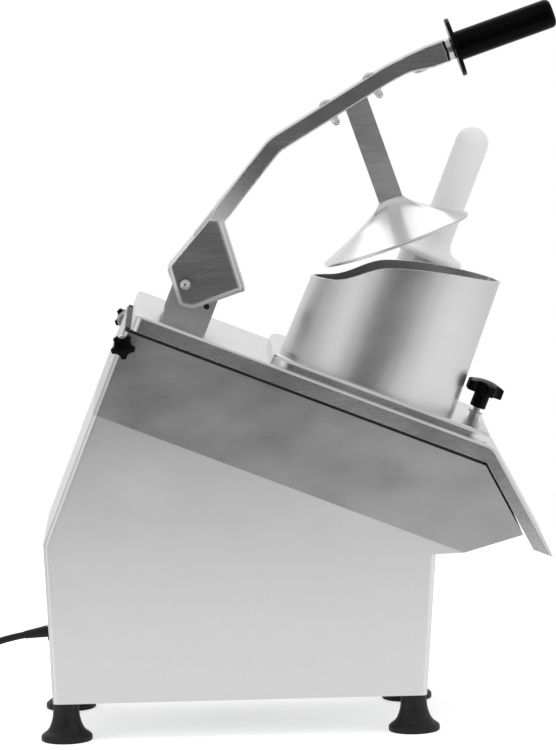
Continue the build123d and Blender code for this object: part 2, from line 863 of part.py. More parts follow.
def lever_bolts():
    """Button head bolts on top of the arm."""
    length = arm_depth + nut_hold
    head = Pos(0, 0, length) * (rod(6.5, 3.4, 1.6) - Pos(0, 0, 1.6) * extrude(RegularPolygon(2.3, 6), 3))
    bolt = rod(lever_bolt, length) + head
    return swung_up(group([square_to_arm(a, arm_depth / 2 - length) * bolt for a in bolt_places()]))


def lever_nuts():
    """Dome nuts under the arm, with washers."""
    nut = rod(5.4, 0.8) + Pos(0, 0, 0.8) * extrude(RegularPolygon(4.4, 6), 4.5)
    nut += Pos(0, 0, 5.3) * (Sphere(3.9) & Cylinder(7, 12, align=CENTRE_LOW))
    nut -= Pos(0, 0, -1) * rod(lever_bolt, 1 + nut_hold)
    return swung_up(group([square_to_arm(a, -arm_depth / 2) * Rot(180, 0, 0) * nut for a in bolt_places()]))


def foot_block(play):
    """The stem's foot plate, let into the arm's underside between its sides."""
    length = bolt_pitch + 2 * (foot_overhang + play)
    width = 2 * (arm_half - foot_edge + play)
    return square_to_arm(bolts_a, -arm_depth / 2) * Box(length, width, foot_plate, align=CENTRE_LOW)


def press_stem():
    """Flat bar from its foot plate under the arm down to the press plate."""
    foot_solid = foot_block(0)
    for a in bolt_places():
        foot_solid -= lever_hole(a, lever_bolt + screw_gap)
    top = arm_height(stem_a) - arm_depth / 2 + 10
    low = stem_foot - plate_drop - rim_thick
    bar = on_deck(stem_p, stem_y, pivot_q + low, Box(stem_length, stem_width, top - low, align=CENTRE_LOW))
    bar &= square_to_arm(stem_a, -arm_depth / 2 - far) * Box(far, far, far, align=CENTRE_LOW)
    return swung_up(foot_solid + bar)


def press_plan(inset):
    """Outline of the press plate, small enough to swing into the hopper."""
    half = hopper_radius - plate_end_gap
    radius = hopper_radius - plate_side_gap
    disc = Pos(plate_shift, 0) * Circle(radius)
    far_side = hopper_flat_y - hopper_wall - plate_flat_gap
    keep = Pos(plate_shift, far_side - radius) * Rectangle(2 * half, 2 * radius)
    plan = disc & keep
    plan = fillet(plan.vertices(), plate_corner)
    return offset(plan, -inset) if inset else plan


def press_plate():
    """D-shaped foot with a thin rim, drawn up in a hollow curve to the stem."""
    low_q = pivot_q - plate_drop
    plan = press_plan(2)
    edge_y = plan.bounding_box().max.Y
    toward_stem = Pos(stem_p * (1 - plate_waist), edge_y * (1 - plate_waist))
    waist = toward_stem * scale(plan, by=plate_waist)
    neck = Pos(stem_p, stem_y) * RectangleRounded(stem_length, stem_width, 3)
    sections = ((rim_thick, plan), (waist_rise, waist), (stem_foot - rim_thick, neck))
    body = loft([deck * Pos(0, 0, low_q + rise) * section for rise, section in sections])
    return swung_up(on_deck(0, 0, low_q, extrude(press_plan(0), rim_thick)) + body)


def guard_bar(radius):
    """Bar that carries guard and grip, set into the arm's end."""
    return along_grip(guard_a - 24, rod(radius, 14 + grip_length))


def hand_guard():
    """Round guard plate with its tie bar through arm and grip."""
    plate = along_grip(guard_a - guard_thick / 2, rod(guard_radius, guard_thick))
    return swung_up(plate - guard_bar(3.0))


def grip_rod():
    return swung_up(guard_bar(3.0))


def hand_grip():
    """Turned plastic grip with a rounded end."""
    bar = along_grip(guard_a + guard_thick / 2, rod(grip_radius, grip_length, 6.0))
    return swung_up(bar - guard_bar(3.0))


# Star knobs
def star(radius, height, lobes=5):
    """Five-lobed knob head: a disc with scooped sides and softened edges."""
    plan = Circle(radius)
    scoop = radius * 0.52
    for i in range(lobes):
        plan -= Rot(0, 0, (i + 0.5) * 360 / lobes) * Pos(radius * 1.24, 0) * Circle(scoop)
    plan = fillet(plan.vertices(), radius * 0.1)
    head = extrude(plan, height)
    return chamfer(head.edges().group_by(Axis.Z)[-1], radius * 0.06)


def clamp_knob():
    """Front knob on its stud, standing on a washer on the platform."""
    neck = rod(clamp_hub, clamp_grip_height + 2)
    head = Pos(0, 0, clamp_grip_height) * star(clamp_knob_radius, 10)
    dome_radius = 24.0
    dome = Pos(0, 0, clamp_grip_height + 15 - dome_radius) * Sphere(dome_radius)
    dome &= Pos(0, 0, clamp_grip_height + 9) * rod(12, 8)
    return on_deck(clamp_p, 0, platform_top + clamp_neck, neck + head + dome)


def clamp_stud_rod():
    length = platform_top + clamp_neck + clamp_nut - 1
    stud = on_deck(clamp_p, 0, 1 - clamp_nut, rod(clamp_stud, length))
    collar = on_deck(clamp_p, 0, platform_top + washer_thick, rod(6.5, clamp_neck - washer_thick))
    return stud + collar


def clamp_washer():
    ring = Circle(7.5) - Circle(clamp_stud + pin_play)
    return on_deck(clamp_p, 0, platform_top, extrude(ring, washer_thick))


def side_washer(side):
    ring = Circle(9.5) - Circle(hinge_pin + pin_play)
    return across(hinge_p, hinge_q, side * (body_half + boss_stand), side, extrude(ring, washer_thick))


def side_knob_head(side):
    """Small star knob whose steel pin is the cover's hinge."""
    start = body_half + boss_stand + washer_thick
    head = rod(side_knob_hub, 6) + Pos(0, 0, 5) * star(side_knob, 9)
    dome_radius = 15.0
    dome = Pos(0, 0, 17 - dome_radius) * Sphere(dome_radius)
    head += dome & (Pos(0, 0, 13) * rod(7.5, 6))
    return across(hinge_p, hinge_q, side * start, side, head)


def side_pin(side):
    start = lug_out - lug_thick - 1
    length = body_half + boss_stand + washer_thick - start
    return across(hinge_p, hinge_q, side * start, side, rod(hinge_pin, length))


# Drive train
def about_axis(shape):
    return deck * shape


def bearing_housing():
    top = -bowl_depth - wall
    low = top - bearing_span - 2 * wall
    inner = bearing_radius - 2.5
    up = top - wall
    points = [
        (seal_radius, top + 2 * wall),
        (spigot_radius, top + 2 * wall),
        (spigot_radius, top),
        (flange_radius, top),
        (flange_radius, top - flange_thick),
        (housing_radius, top - flange_thick),
        (housing_radius, low),
        (bearing_radius, low),
        (bearing_radius, low + bearing_width),
        (inner, low + bearing_width),
        (inner, up - bearing_width),
        (bearing_radius, up - bearing_width),
        (bearing_radius, up),
        (seal_radius, up),
    ]
    body = turned(points)
    for place in PolarLocations(flange_bolt_circle, 4, start_angle=45):
        body -= place * Pos(0, 0, top - 2 * wall) * rod(3 + screw_gap, 3 * wall)
    return about_axis(body)


def bearing(top):
    """Sealed ball bearing, drawn as its rings and shields."""
    inner = shaft_radius + pin_play
    groove = 0.6
    points = [
        (inner, top - bearing_width),
        (inner, top),
        (inner + 3, top),
        (inner + 3, top - groove),
        (bearing_radius - 3, top - groove),
        (bearing_radius - 3, top),
        (bearing_radius, top),
        (bearing_radius, top - bearing_width),
        (bearing_radius - 3, top - bearing_width),
        (bearing_radius - 3, top - bearing_width + groove),
        (inner + 3, top - bearing_width + groove),
        (inner + 3, top - bearing_width),
    ]
    return about_axis(turned(points))


def shaft_seal():
    top = -bowl_depth + wall
    ring = Circle(seal_radius) - Circle(shaft_radius + pin_play)
    return about_axis(Pos(0, 0, top - 2 * wall) * extrude(ring, 2 * wall - 0.5))


def machine_bolt_blank(radius, length):
    """Hexagon head under a shank."""
    head = extrude(RegularPolygon(machine_bolt_hex, 6), machine_bolt_head)
    return Pos(0, 0, -machine_bolt_head) * head + rod(radius, length)


def bearing_bolts():
    top = -bowl_depth - wall - flange_thick
    bolt = machine_bolt_blank(machine_bolt, flange_thick)
    places = PolarLocations(flange_bolt_circle, 4, start_angle=45)
    return group([about_axis(place * Pos(0, 0, top) * bolt) for place in places])


def drive_shaft():
    low = belt_q - pulley_half - 6
    top = disc_top - hub_cap - 1
    upper = -bowl_depth - 2 * wall - bearing_width
    lower = -bowl_depth - wall - bearing_span - 2 * wall + bearing_width
    shaft = Pos(0, 0, low) * rod(shaft_radius, top - low, 1.0)
    shaft += Pos(0, 0, lower + 0.5) * rod(shaft_collar, upper - lower - 1)
    for q in pin_places():
        shaft -= Pos(0, 0, q) * Rot(0, 90, 0) * Cylinder(pin_radius, 4 * shaft_radius)
    return about_axis(shaft)


def pin_places():
    """Heights of the pins that drive the ejector and the cutting disc."""
    return (ejector_low + 10, ejector_high + 10)


def drive_pins():
    pin = Rot(0, 90, 0) * Cylinder(pin_radius, pin_length)
    return group([about_axis(Pos(0, 0, q) * pin) for q in pin_places()])


def hub(low, high, slot_q, cap):
    """Hub with a slot from below that drops over a drive pin."""
    body = Pos(0, 0, low) * rod(hub_radius, high - low)
    body -= Pos(0, 0, low - 1) * rod(shaft_radius + 0.1, high - low + 1 - cap)
    slot = Box(2 * hub_radius + 2, 2 * pin_radius + 0.2, slot_q + pin_radius - low, align=CENTRE_LOW)
    return body - Pos(0, 0, low) * slot


def ejector_disc():
    """Plastic disc with upright vanes that throw the slices out of the bowl."""
    body = Pos(0, 0, ejector_low) * (rod(ejector_radius, ejector_plate) - rod(hub_radius - 1, ejector_plate))
    body += hub(ejector_low, ejector_high, pin_places()[0], -1)
    span = ejector_radius - hub_radius - 2
    fin = Box(span, fin_thick, fin_height, align=CENTRE_LOW)
    fin = Pos(hub_radius - 1 + span / 2, 0, ejector_low + ejector_plate) * fin
    for i in range(fin_count):
        body += Rot(0, 0, 45 + i * 360 / fin_count) * fin
    return about_axis(body)


def blade_place(i):
    return Rot(0, 0, 30 + i * 360 / blade_count) * Pos(hub_radius + 6 + blade_length / 2, 0, 0)


def cutting_disc():
    """Slicing disc: plate on a hub, with one window in front of each blade."""
    low = disc_top - disc_thick
    plate = Pos(0, 0, low) * rod(disc_radius, disc_thick)
    plate -= Pos(0, 0, low - 1) * rod(hub_radius - 1, disc_thick + 2)
    plate += hub(ejector_high, disc_top, pin_places()[1], hub_cap)
    window = extrude(RectangleRounded(blade_length, blade_width - 4, 4), disc_thick + 2)
    window = Pos(0, blade_width / 2 + 1, low - 1) * window
    for i in range(blade_count):
        plate -= blade_place(i) * window
    plate += Pos(0, 0, low - 2) * (rod(disc_radius - 1, 2) - rod(disc_radius - 4, 2))
    return about_axis(plate)


def cutting_blades():
    """Flat blades on the disc, ground to an edge over the window."""
    section = make_face(Polyline(
        (-blade_width / 2, 0), (blade_width / 2 - 4, 0),
        (blade_width / 2, blade_thick), (-blade_width / 2, blade_thick),
        close=True,
    ))
    blade = extrude(Plane.YZ * section, blade_length / 2, both=True)
    for x in blade_screw_x():
        blade -= Pos(x, -blade_width / 4, 0) * blade_screw(screw_gap)
    blade = Pos(0, -blade_width / 4, disc_top) * blade
    return group([about_axis(blade_place(i) * blade) for i in range(blade_count)])


def blade_screw_x():
    return (-blade_length / 3, blade_length / 3)


def blade_screw(play):
    """Flat head that ends level with the blade's face."""
    return Cone(blade_screw_core + play, blade_screw_head + play, blade_thick, align=CENTRE_LOW)


def blade_screws():
    screws = []
    for i in range(blade_count):
        for x in blade_screw_x():
            screws.append(about_axis(blade_place(i) * Pos(x, -blade_width / 2, disc_top) * blade_screw(0.0)))
    return group(screws)


def pulley(pitch_radius, bore, rim):
    """Grooved pulley; a large one is dished to a hub and a rim."""
    groove_top = pitch_radius + belt_height / 2
    groove_low = pitch_radius - belt_height / 2 - belt_gap
    narrow = belt_half - belt_height * tan(radians(17)) + belt_gap
    wide = belt_half + belt_gap + 0.3
    points = [(bore, -pulley_half), (groove_top, -pulley_half), (groove_top, -wide), (groove_low, -narrow)]
    points += [(groove_low, narrow), (groove_top, wide), (groove_top, pulley_half), (bore, pulley_half)]
    body = turned(points)
    if rim:
        web = pulley_half - 3
        dish = rod(groove_low - 5, pulley_half) - rod(hub_radius, pulley_half)
        body -= Pos(0, 0, 3) * dish
        body -= Pos(0, 0, -3 - pulley_half) * dish
        for place in PolarLocations((groove_low + hub_radius) / 2, 6):
            body -= place * Cylinder((groove_low - hub_radius) / 4, 4 * web)
    return body


def driven_pulley():
    return about_axis(Pos(0, 0, belt_q) * pulley(big_pulley, shaft_radius, True))


def belt_loop(grow, q):
    """Line round both pulleys, grown from their pitch radii, at one height."""
    ends = Circle(big_pulley + grow).edges() + (Pos(motor_p, 0) * Circle(small_pulley + grow)).edges()
    return Pos(0, 0, q) * make_hull(ends)


def drive_belt():
    """Closed V-belt round the two pulleys."""
    outer = belt_height / 2 - belt_gap
    inner = -belt_height / 2
    narrow = belt_half - belt_height * tan(radians(17))
    belt = extrude(belt_loop(outer, 0), belt_half, both=True)
    belt -= extrude(belt_loop(inner, 0), narrow, both=True)
    for side in (-1, 1):
        belt -= loft([belt_loop(inner, side * narrow), belt_loop(outer, side * belt_half)], ruled=True)
    return about_axis(Pos(0, 0, belt_q) * belt)


def motor_body():
    """Motor with a ribbed barrel between two end bells."""
    points = [
        (motor_shaft + motor_shaft_play, motor_low),
        (motor_radius - motor_edge, motor_low),
        (motor_radius, motor_low + motor_edge),
        (motor_radius, motor_high - motor_shoulder),
        (motor_radius - motor_shoulder, motor_high),
        (motor_shaft + motor_shaft_play, motor_high),
    ]
    barrel = turned(points)
    rib_length = motor_high - motor_low - motor_rib_start - motor_rib_end
    rib = Box(motor_rib_depth, motor_rib_width, rib_length, align=CENTRE_LOW)
    rib = Pos(motor_radius + motor_rib_depth / 4, 0, motor_low + motor_rib_start) * rib
    for i in range(12):
        barrel += Rot(0, 0, 15 + i * 30) * rib
    for place in PolarLocations(motor_radius - motor_bolt_inset, 4, start_angle=45):
        barrel -= place * Pos(0, 0, motor_low - 1) * rod(machine_bolt, machine_bolt_length)
    return deck * Pos(motor_p, 0, 0) * barrel


def motor_bracket():
    """Folded channel hung from the deck that carries the motor by its drive end."""
    outer = leg_half + bracket_sheet
    half = motor_radius - bracket_sheet
    points = [
        (-outer - bracket_flange, -deck_plate),
        (-leg_half, -deck_plate),
        (-leg_half, motor_low),
        (leg_half, motor_low),
        (leg_half, -deck_plate),
        (outer + bracket_flange, -deck_plate),
        (outer + bracket_flange, -deck_plate - bracket_sheet),
        (outer, -deck_plate - bracket_sheet),
        (outer, motor_low - bracket_sheet),
        (-outer, motor_low - bracket_sheet),
        (-outer, -deck_plate - bracket_sheet),
        (-outer - bracket_flange, -deck_plate - bracket_sheet),
    ]
    sheet = extrude(deck_end * make_face(Polyline(*points, close=True)), amount=half, both=True)
    sheet = Pos(down_deck * motor_bracket_p) * sheet
    sheet -= on_deck(motor_p, 0, motor_low - 2 * bracket_sheet, rod(bracket_bore, 3 * bracket_sheet))
    bolt_hole = rod(machine_bolt + screw_gap, 3 * bracket_sheet)
    for place in PolarLocations(motor_radius - motor_bolt_inset, 4, start_angle=45):
        sheet -= deck * Pos(motor_p, 0, motor_low - 2 * bracket_sheet) * place * bolt_hole
    return sheet


def motor_bolts():
    bolt = machine_bolt_blank(machine_bolt - screw_gap, machine_bolt_length)
    bolts = []
    for place in PolarLocations(motor_radius - motor_bolt_inset, 4, start_angle=45):
        bolts.append(deck * Pos(motor_p, 0, motor_low - bracket_sheet) * place * bolt)
    return group(bolts)


def motor_spindle():
    low = belt_q - pulley_half - 3
    return on_deck(motor_p, 0, low, rod(motor_shaft, motor_high - 10 - low))


def motor_pulley():
    return on_deck(motor_p, 0, belt_q, pulley(small_pulley, motor_shaft, False))


def capacitor():
    """Motor capacitor clipped to the bracket's leg."""
    y = leg_half + bracket_sheet + capacitor_radius
    return on_deck(motor_p, y, capacitor_low, rod(capacitor_radius, capacitor_length, 2.0))


# Switches
def switch_panel():
    """Raised plate on the far wall, parallel to the machine's side, with its back on the sloping wall."""
    plan = RectangleRounded(panel_length, panel_height, 6)
    depth = 4 * wall
    plate = Pos(switch_x, panel_stand - depth, switch_z) * Rot(-90, 0, 0) * extrude(plan, depth)
    top = plate.faces().sort_by(Axis.Y)[-1]
    plate = chamfer(top.edges(), 1.2)
    for place in button_places():
        plate -= place * rod(button_stem + button_play, 4 * wall)
        plate -= place * Pos(0, 0, 3 * wall - button_travel - 0.5) * rod(button_radius + button_play, 4 * wall)
    return plate - base_solid()


def base_solid():
    return base_outside() + base_inside(0.0)


def contact_block():
    """Switch body behind the wall, standing on two collars round the button stems."""
    low = panel_stand - block_back
    plan = RectangleRounded(block_length, block_height, 3)
    body = Pos(switch_x, low, switch_z) * Rot(-90, 0, 0) * extrude(plan, block_depth)
    for place in button_places():
        reach = panel_stand - low
        start = Pos(0, 0, -(reach - 3 * wall))
        body += place * start * rod(button_stem + 4, reach)
        body -= place * Pos(0, 0, -wall - 2 * button_travel) * rod(button_stem + button_play, reach)
    return body & base_inside(0.0)


def push_button(side):
    place = button_places()[0 if side < 0 else 1]
    stem_low = -wall
    cap_low = 3 * wall - 0.4
    stem = place * Pos(0, 0, stem_low) * rod(button_stem, cap_low - stem_low + 1)
    cap = place * Pos(0, 0, cap_low) * rod(button_radius, button_stand, 1.5)
    return stem + cap


# Mains cord
def tilted_exit():
    """Frame at the rear wall that looks along the cord's first stretch."""
    start = Vector(bottom_rear_x - 1.6 - gland_flange, 0, gland_z)
    tilt = radians(gland_tilt)
    return Plane(origin=start, z_dir=(-cos(tilt), 0, -sin(tilt)))


def cable_gland():
    """Round flange outside, nut inside, and a tapered sleeve that bends with the cord."""
    start_x = bottom_rear_x - 1.6 - gland_flange
    body = Pos(start_x, 0, gland_z) * Rot(0, 90, 0) * rod(gland_radius, gland_flange + 4)
    body -= base_solid()
    body = body.solids().sort_by(Axis.X)[0]
    sleeve_end = tilted_exit() * Pos(0, 0, relief_length) * Circle(cord_diameter / 2 + 0.5)
    sleeve = loft([tilted_exit() * Circle(6.2), sleeve_end])
    back = Pos(start_x + gland_flange - 2, 0, gland_z) * Rot(0, 90, 0) * rod(gland_radius - 2.2, 18)
    nut = Pos(bottom_rear_x + wall - 0.4, 0, gland_z) * Rot(0, 90, 0) * extrude(RegularPolygon(12, 6), 6)
    nut &= base_inside(0.0)
    return body + sleeve + back + nut


def cord_points():
    start = tilted_exit().from_local_coords((0, 0, relief_length))
    return [start] + [Vector(*point) for point in cord_route]


def corner_radii(points):
    """Each corner's arc: 0.45 of its shorter run over the tangent of half its turn."""
    radii = []
    for before, here, after in zip(points, points[1:], points[2:]):
        run = min((here - before).length, (after - here).length)
        turn = (here - before).get_angle(after - here)
        radii.append(0.45 * run / tan(radians(turn) / 2))
    return radii


def power_cord():
    points = cord_points()
    radii = corner_radii(points)
    print("cord radii", [round(r, 1) for r in radii])
    path = FilletPolyline(*points, radius=radii)
    section = Plane(origin=path @ 0, z_dir=path % 0) * Circle(cord_diameter / 2)
    tube = sweep(section, path)
    print("cord tube", round(path.length, 1), round(tube.volume / (pi * cord_diameter ** 2 / 4 * path.length), 4))
    return tube


def cord_coil():
    ring = RectangleRounded(coil_width, coil_height, 3.5)
    section = Plane.XZ * Pos(coil_radius, coil_height / 2) * ring
    return Pos(*coil_centre, 0) * revolve(section, Axis.Z)


def power_plug():
    """Moulded two-pin plug lying on the coil."""
    body = rod(plug_radius, plug_length, 3.0)
    body += Pos(0, 0, plug_length) * Cone(plug_radius - 6, cord_diameter / 2 + 1, 16, align=CENTRE_LOW)
    for side in (-1, 1):
        body += Pos(0, side * 9.5, -plug_pin_length) * rod(plug_pin, plug_pin_length)
    lift = coil_height + plug_radius
    place = Pos(plug_centre[0] + 12, plug_centre[1], lift) * Rot(0, -90, 0)
    return place * Pos(0, 0, -plug_length / 2) * body


pieces = {
    "base_housing": base_housing,
    "bottom_plate": bottom_plate,
    "foot_bolts": foot_bolts,
    "chamber_housing": chamber_housing,
    "lid_gasket": lid_gasket,
    "bearing_housing": bearing_housing,
    "upper_bearing": lambda: bearing(-bowl_depth - 2 * wall),
    "lower_bearing": lambda: bearing(-bowl_depth - wall - bearing_span - 2 * wall + bearing_width),
    "shaft_seal": shaft_seal,
    "bearing_bolts": bearing_bolts,
    "motor_body": motor_body,
    "motor_bracket": motor_bracket,
    "motor_bolts": motor_bolts,
    "capacitor": capacitor,
    "drive_belt": drive_belt,
    "switch_panel": switch_panel,
    "contact_block": contact_block,
    "cable_gland": cable_gland,
    "power_cord": power_cord,
    "cord_coil": cord_coil,
    "power_plug": power_plug,
    "drive_shaft": drive_shaft,
    "drive_pins": drive_pins,
    "driven_pulley": driven_pulley,
    "ejector_disc": ejector_disc,
    "cutting_disc": cutting_disc,
    "cutting_blades": cutting_blades,
    "blade_screws": blade_screws,
    "motor_spindle": motor_spindle,
    "motor_pulley": motor_pulley,
    "cover_shell": cover_shell,
    "hinge_lugs": hinge_lugs,
    "feed_hopper": feed_hopper,
    "feed_tube": feed_tube,
    "lever_bracket": lever_bracket,
    "bracket_screws": bracket_screws,
    "pivot_pin": pivot_pin,
    "bracket_spacer": bracket_spacer,
    "lever_arm": lever_arm,
    "press_stem": press_stem,
    "press_plate": press_plate,
    "lever_bolts": lever_bolts,
    "lever_nuts": lever_nuts,
    "hand_guard": hand_guard,
    "grip_rod": grip_rod,
    "hand_grip": hand_grip,
    "push_stick": push_stick,
    "clamp_washer": clamp_washer,
    "clamp_knob": clamp_knob,
    "clamp_stud": clamp_stud_rod,
    "near_knob_washer": lambda: side_washer(-1),
    "near_hinge_knob": lambda: side_knob_head(-1) + side_pin(-1),
    "far_knob_washer": lambda: side_washer(1),
    "far_hinge_knob": lambda: side_knob_head(1) + side_pin(1),
    "start_button": lambda: push_button(-1),
    "stop_button": lambda: push_button(1),
}
foot_names = ("foot_near_rear", "foot_far_rear", "foot_near_front", "foot_far_front")

os.makedirs("parts", exist_ok=True)
for name, make in pieces.items():
    export_step(make(), f"parts/{name}.step")
for name, (x, y) in zip(foot_names, feet):
    export_step(Pos(x, y, 0) * foot(), f"parts/{name}.step")
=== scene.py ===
# %% [markdown]
# # An electric vegetable cutter
# The CAD model of the machine is the fixed frame: every size, joint and place comes from it, in metres.
# This lesson gives its pieces the finish of the real ones: brushed and polished steel, cast aluminium,
# black plastic, rubber and a milky white push stick. It adds what plain CAD leaves out, such as soft edges,
# knobs with real lobes, domed nuts and a cord that lies on the table.

# %% Load the machine
import json
import math
from functools import partial

import bmesh
import bpy
from mathutils import Matrix, Vector


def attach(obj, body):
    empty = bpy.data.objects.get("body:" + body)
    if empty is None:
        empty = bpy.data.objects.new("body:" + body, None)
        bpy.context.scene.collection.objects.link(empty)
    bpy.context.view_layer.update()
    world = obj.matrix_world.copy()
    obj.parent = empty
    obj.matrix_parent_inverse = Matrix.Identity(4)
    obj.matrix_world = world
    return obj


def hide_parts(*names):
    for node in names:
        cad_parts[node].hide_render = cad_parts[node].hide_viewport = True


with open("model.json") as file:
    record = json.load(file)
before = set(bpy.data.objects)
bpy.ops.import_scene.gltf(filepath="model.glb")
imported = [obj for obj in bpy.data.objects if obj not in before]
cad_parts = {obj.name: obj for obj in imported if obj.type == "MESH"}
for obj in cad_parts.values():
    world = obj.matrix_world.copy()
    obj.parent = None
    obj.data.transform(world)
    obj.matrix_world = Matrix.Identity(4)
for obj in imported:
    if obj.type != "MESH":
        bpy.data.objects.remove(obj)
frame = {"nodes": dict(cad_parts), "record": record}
nodes = frame["nodes"]
body_of = {name: body for body, names in frame["record"]["behaviour"]["bodies"].items() for name in names}
slot_of = {row["node"]: row["material_slot"] for row in frame["record"]["subparts"]}
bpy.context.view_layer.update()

# %% [markdown]
# ## The deck
# The cutting disc leans forward by 22.2 degrees, and everything on top of the machine follows it. A small
# helper gives the place of a point measured down the deck (p), across the machine (y) and square off the
# deck (q), so that later steps can speak the same language as a drawing of the machine.

# %% Deck coordinates
DECK_DEGREES = 22.2
DECK_ORIGIN = Vector((0.0571, 0.0, 0.3229))
CLAMP_P = 0.116
ACROSS = Vector((0.0, 1.0, 0.0))


def tilted(degrees):
    """Directions along a line that rises towards the front of the side view, and square off it."""
    angle = math.radians(degrees)
    return Vector((math.cos(angle), 0.0, math.sin(angle))), Vector((-math.sin(angle), 0.0, math.cos(angle)))


DOWN_DECK, OFF_DECK = tilted(-DECK_DEGREES)


def on_deck(p, y, q):
    return DECK_ORIGIN + DOWN_DECK * p + ACROSS * y + OFF_DECK * q


def aimed(direction):
    """Turn that points +Z in a direction."""
    return Vector(direction).to_track_quat("Z", "Y")


def upright_at(point, direction):
    """Matrix that stands a piece, drawn along +Z, at a point and points it in a direction."""
    return Matrix.Translation(point) @ aimed(direction).to_matrix().to_4x4()


def new_piece(name, data):
    """Put new data into the scene as an object at the origin."""
    piece = bpy.data.objects.new(name, data)
    bpy.context.scene.collection.objects.link(piece)
    return piece


print("cover clamp stands at", [round(v, 4) for v in on_deck(CLAMP_P, 0, 0.03)])

# %% [markdown]
# ## The camera
# The picture is a product shot from the machine's side, taken from far away with a long lens, a little above
# the deck and a hair out of level. Nearly parallel sides give the long lens away: a short lens would make
# the near side of the hopper much larger than the far one. The three turns are pitch, yaw and roll.

# %% Place the camera
PIXELS_WIDE, PIXELS_HIGH = 556, 750
PIXELS_PER_METRE = 1000
SENSOR_MM = 36.0
PITCH, YAW, ROLL = math.radians(7.0), math.radians(0.8), math.radians(1.5)
DISTANCE = 4.9
FOCUS = Vector((-0.025, -0.115, 0.3698))

forward = Vector((math.sin(YAW) * math.cos(PITCH), math.cos(YAW) * math.cos(PITCH), -math.sin(PITCH)))
level = Vector((math.cos(YAW), -math.sin(YAW), 0.0))
top = level.cross(forward)
right = level * math.cos(ROLL) - top * math.sin(ROLL)
top = top * math.cos(ROLL) + level * math.sin(ROLL)

lens = bpy.data.cameras.new("long_lens")
lens.sensor_width = SENSOR_MM
lens.sensor_fit = "AUTO"
lens.lens = SENSOR_MM * DISTANCE * PIXELS_PER_METRE / PIXELS_HIGH
lens.clip_end = 60.0
camera = new_piece("camera", lens)
camera_turn = Matrix((right, top, -forward)).transposed().to_4x4()
camera.matrix_world = Matrix.Translation(FOCUS - forward * DISTANCE) @ camera_turn
bpy.context.scene.camera = camera
print("lens", round(lens.lens, 1), "mm, frame", PIXELS_WIDE, "x", PIXELS_HIGH)

# %% [markdown]
# ## The mains cord
# A rubber lead leaves its gland on the rear wall, bends down under its own weight and lies on the table. The
# spare length is wound up in a neat coil behind the machine, as it is kept on a shelf, and its end rises in
# one loop to the plug. One smooth NURBS curve is the right tool: its few control points are pulled into
# place, and the curve cannot kink between them.

# %% Route of the cord
CORD_EXIT = (-0.2908, 0.0, 0.0937)
CORD_DIAMETER = 0.0072
to_the_table = [
    CORD_EXIT,
    (-0.3200, 0.0015, 0.0884),
    (-0.3440, 0.0055, 0.0740),
    (-0.3600, 0.0110, 0.0510),
    (-0.3730, 0.0180, 0.0280),
    (-0.3910, 0.0250, 0.0115),
    (-0.4140, 0.0315, 0.0046),
    (-0.4400, 0.0430, 0.0038),
]
COIL_CENTRE, COIL_START = (-0.425, 0.088), -138
POINTS_PER_TURN, POINTS_LAST_TURN, POINTS_TO_EASE = 12, 8, 4
FIRST_LAYER, SECOND_LAYER = 0.0038, 0.0102
turn_sizes = [
    (0.0472, FIRST_LAYER), (0.0402, FIRST_LAYER), (0.0334, FIRST_LAYER),
    (0.0368, SECOND_LAYER), (0.0436, SECOND_LAYER),
]
LOOP_CENTRE, LOOP_RADIUS, LOOP_START, LOOP_STEP = (-0.4475, 0.0562), 0.0330, -45, -30
LOOP_HEIGHTS = (0.0168, 0.0174, 0.0188, 0.0214, 0.0246, 0.0280, 0.0308, 0.0326)


def round_point(centre, radius, degrees, height):
    angle = math.radians(degrees)
    return (centre[0] + radius * math.cos(angle), centre[1] + radius * math.sin(angle), height)


def coil_points():
    """Turns side by side and on each other, each easing into the next over its last third."""
    points = []
    for i, (radius, height) in enumerate(turn_sizes):
        last = i == len(turn_sizes) - 1
        next_radius, next_height = turn_sizes[i if last else i + 1]
        for step in range(POINTS_LAST_TURN if last else POINTS_PER_TURN):
            ease = max(0.0, (step - POINTS_PER_TURN + POINTS_TO_EASE) / POINTS_TO_EASE)
            ease = ease * ease * (3 - 2 * ease)
            r = radius + (next_radius - radius) * ease
            z = height + (next_height - height) * ease
            degrees = COIL_START - 360 / POINTS_PER_TURN * (step + i * POINTS_PER_TURN)
            points.append(round_point(COIL_CENTRE, r, degrees, z))
    return points


to_the_plug = [round_point(COIL_CENTRE, 0.0440, -18, 0.0122), round_point(COIL_CENTRE, 0.0450, -48, 0.0160)]
for i, height in enumerate(LOOP_HEIGHTS):
    to_the_plug.append(round_point(LOOP_CENTRE, LOOP_RADIUS, LOOP_START + LOOP_STEP * i, height))
to_the_plug.append((-0.4430, 0.0880, 0.0330))
route = to_the_table + coil_points() + to_the_plug

cord_curve = bpy.data.curves.new("mains_cord", "CURVE")
cord_curve.dimensions = "3D"
cord_curve.bevel_depth = 1.0
cord_curve.bevel_resolution = 4
cord_curve.resolution_u = 8
cord_curve.use_fill_caps = True
spline = cord_curve.splines.new("NURBS")
spline.points.add(len(route) - 1)
for point, place in zip(spline.points, route):
    point.co = (*place, 1.0)
    point.radius = CORD_DIAMETER / 2
spline.order_u = 3
spline.use_endpoint_u = True
mains_cord = new_piece("mains_cord", cord_curve)
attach(mains_cord, "base")
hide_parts("power_cord", "cord_coil")
print("cord control points:", len(route))

# %% [markdown]
# ## Softened copies of the CAD pieces
# Real pieces have no knife edges: sheet is deburred, castings are polished and plastic is moulded with small
# radii. The CAD mesh itself stays as it is. A copy of it is welded into one skin, its flat areas are joined
# into single faces, and a narrow Bevel runs along what is left of its sharp edges. Painting the edges light
# would be cheaper, but a real bevel catches the lamps from every side.

# %% A helper that dresses a copy
WELD_DISTANCE = 2e-6
FLAT_DEGREES, SMOOTH_DEGREES, ROUND_DEGREES = 0.6, 34, 50
finishes = {}


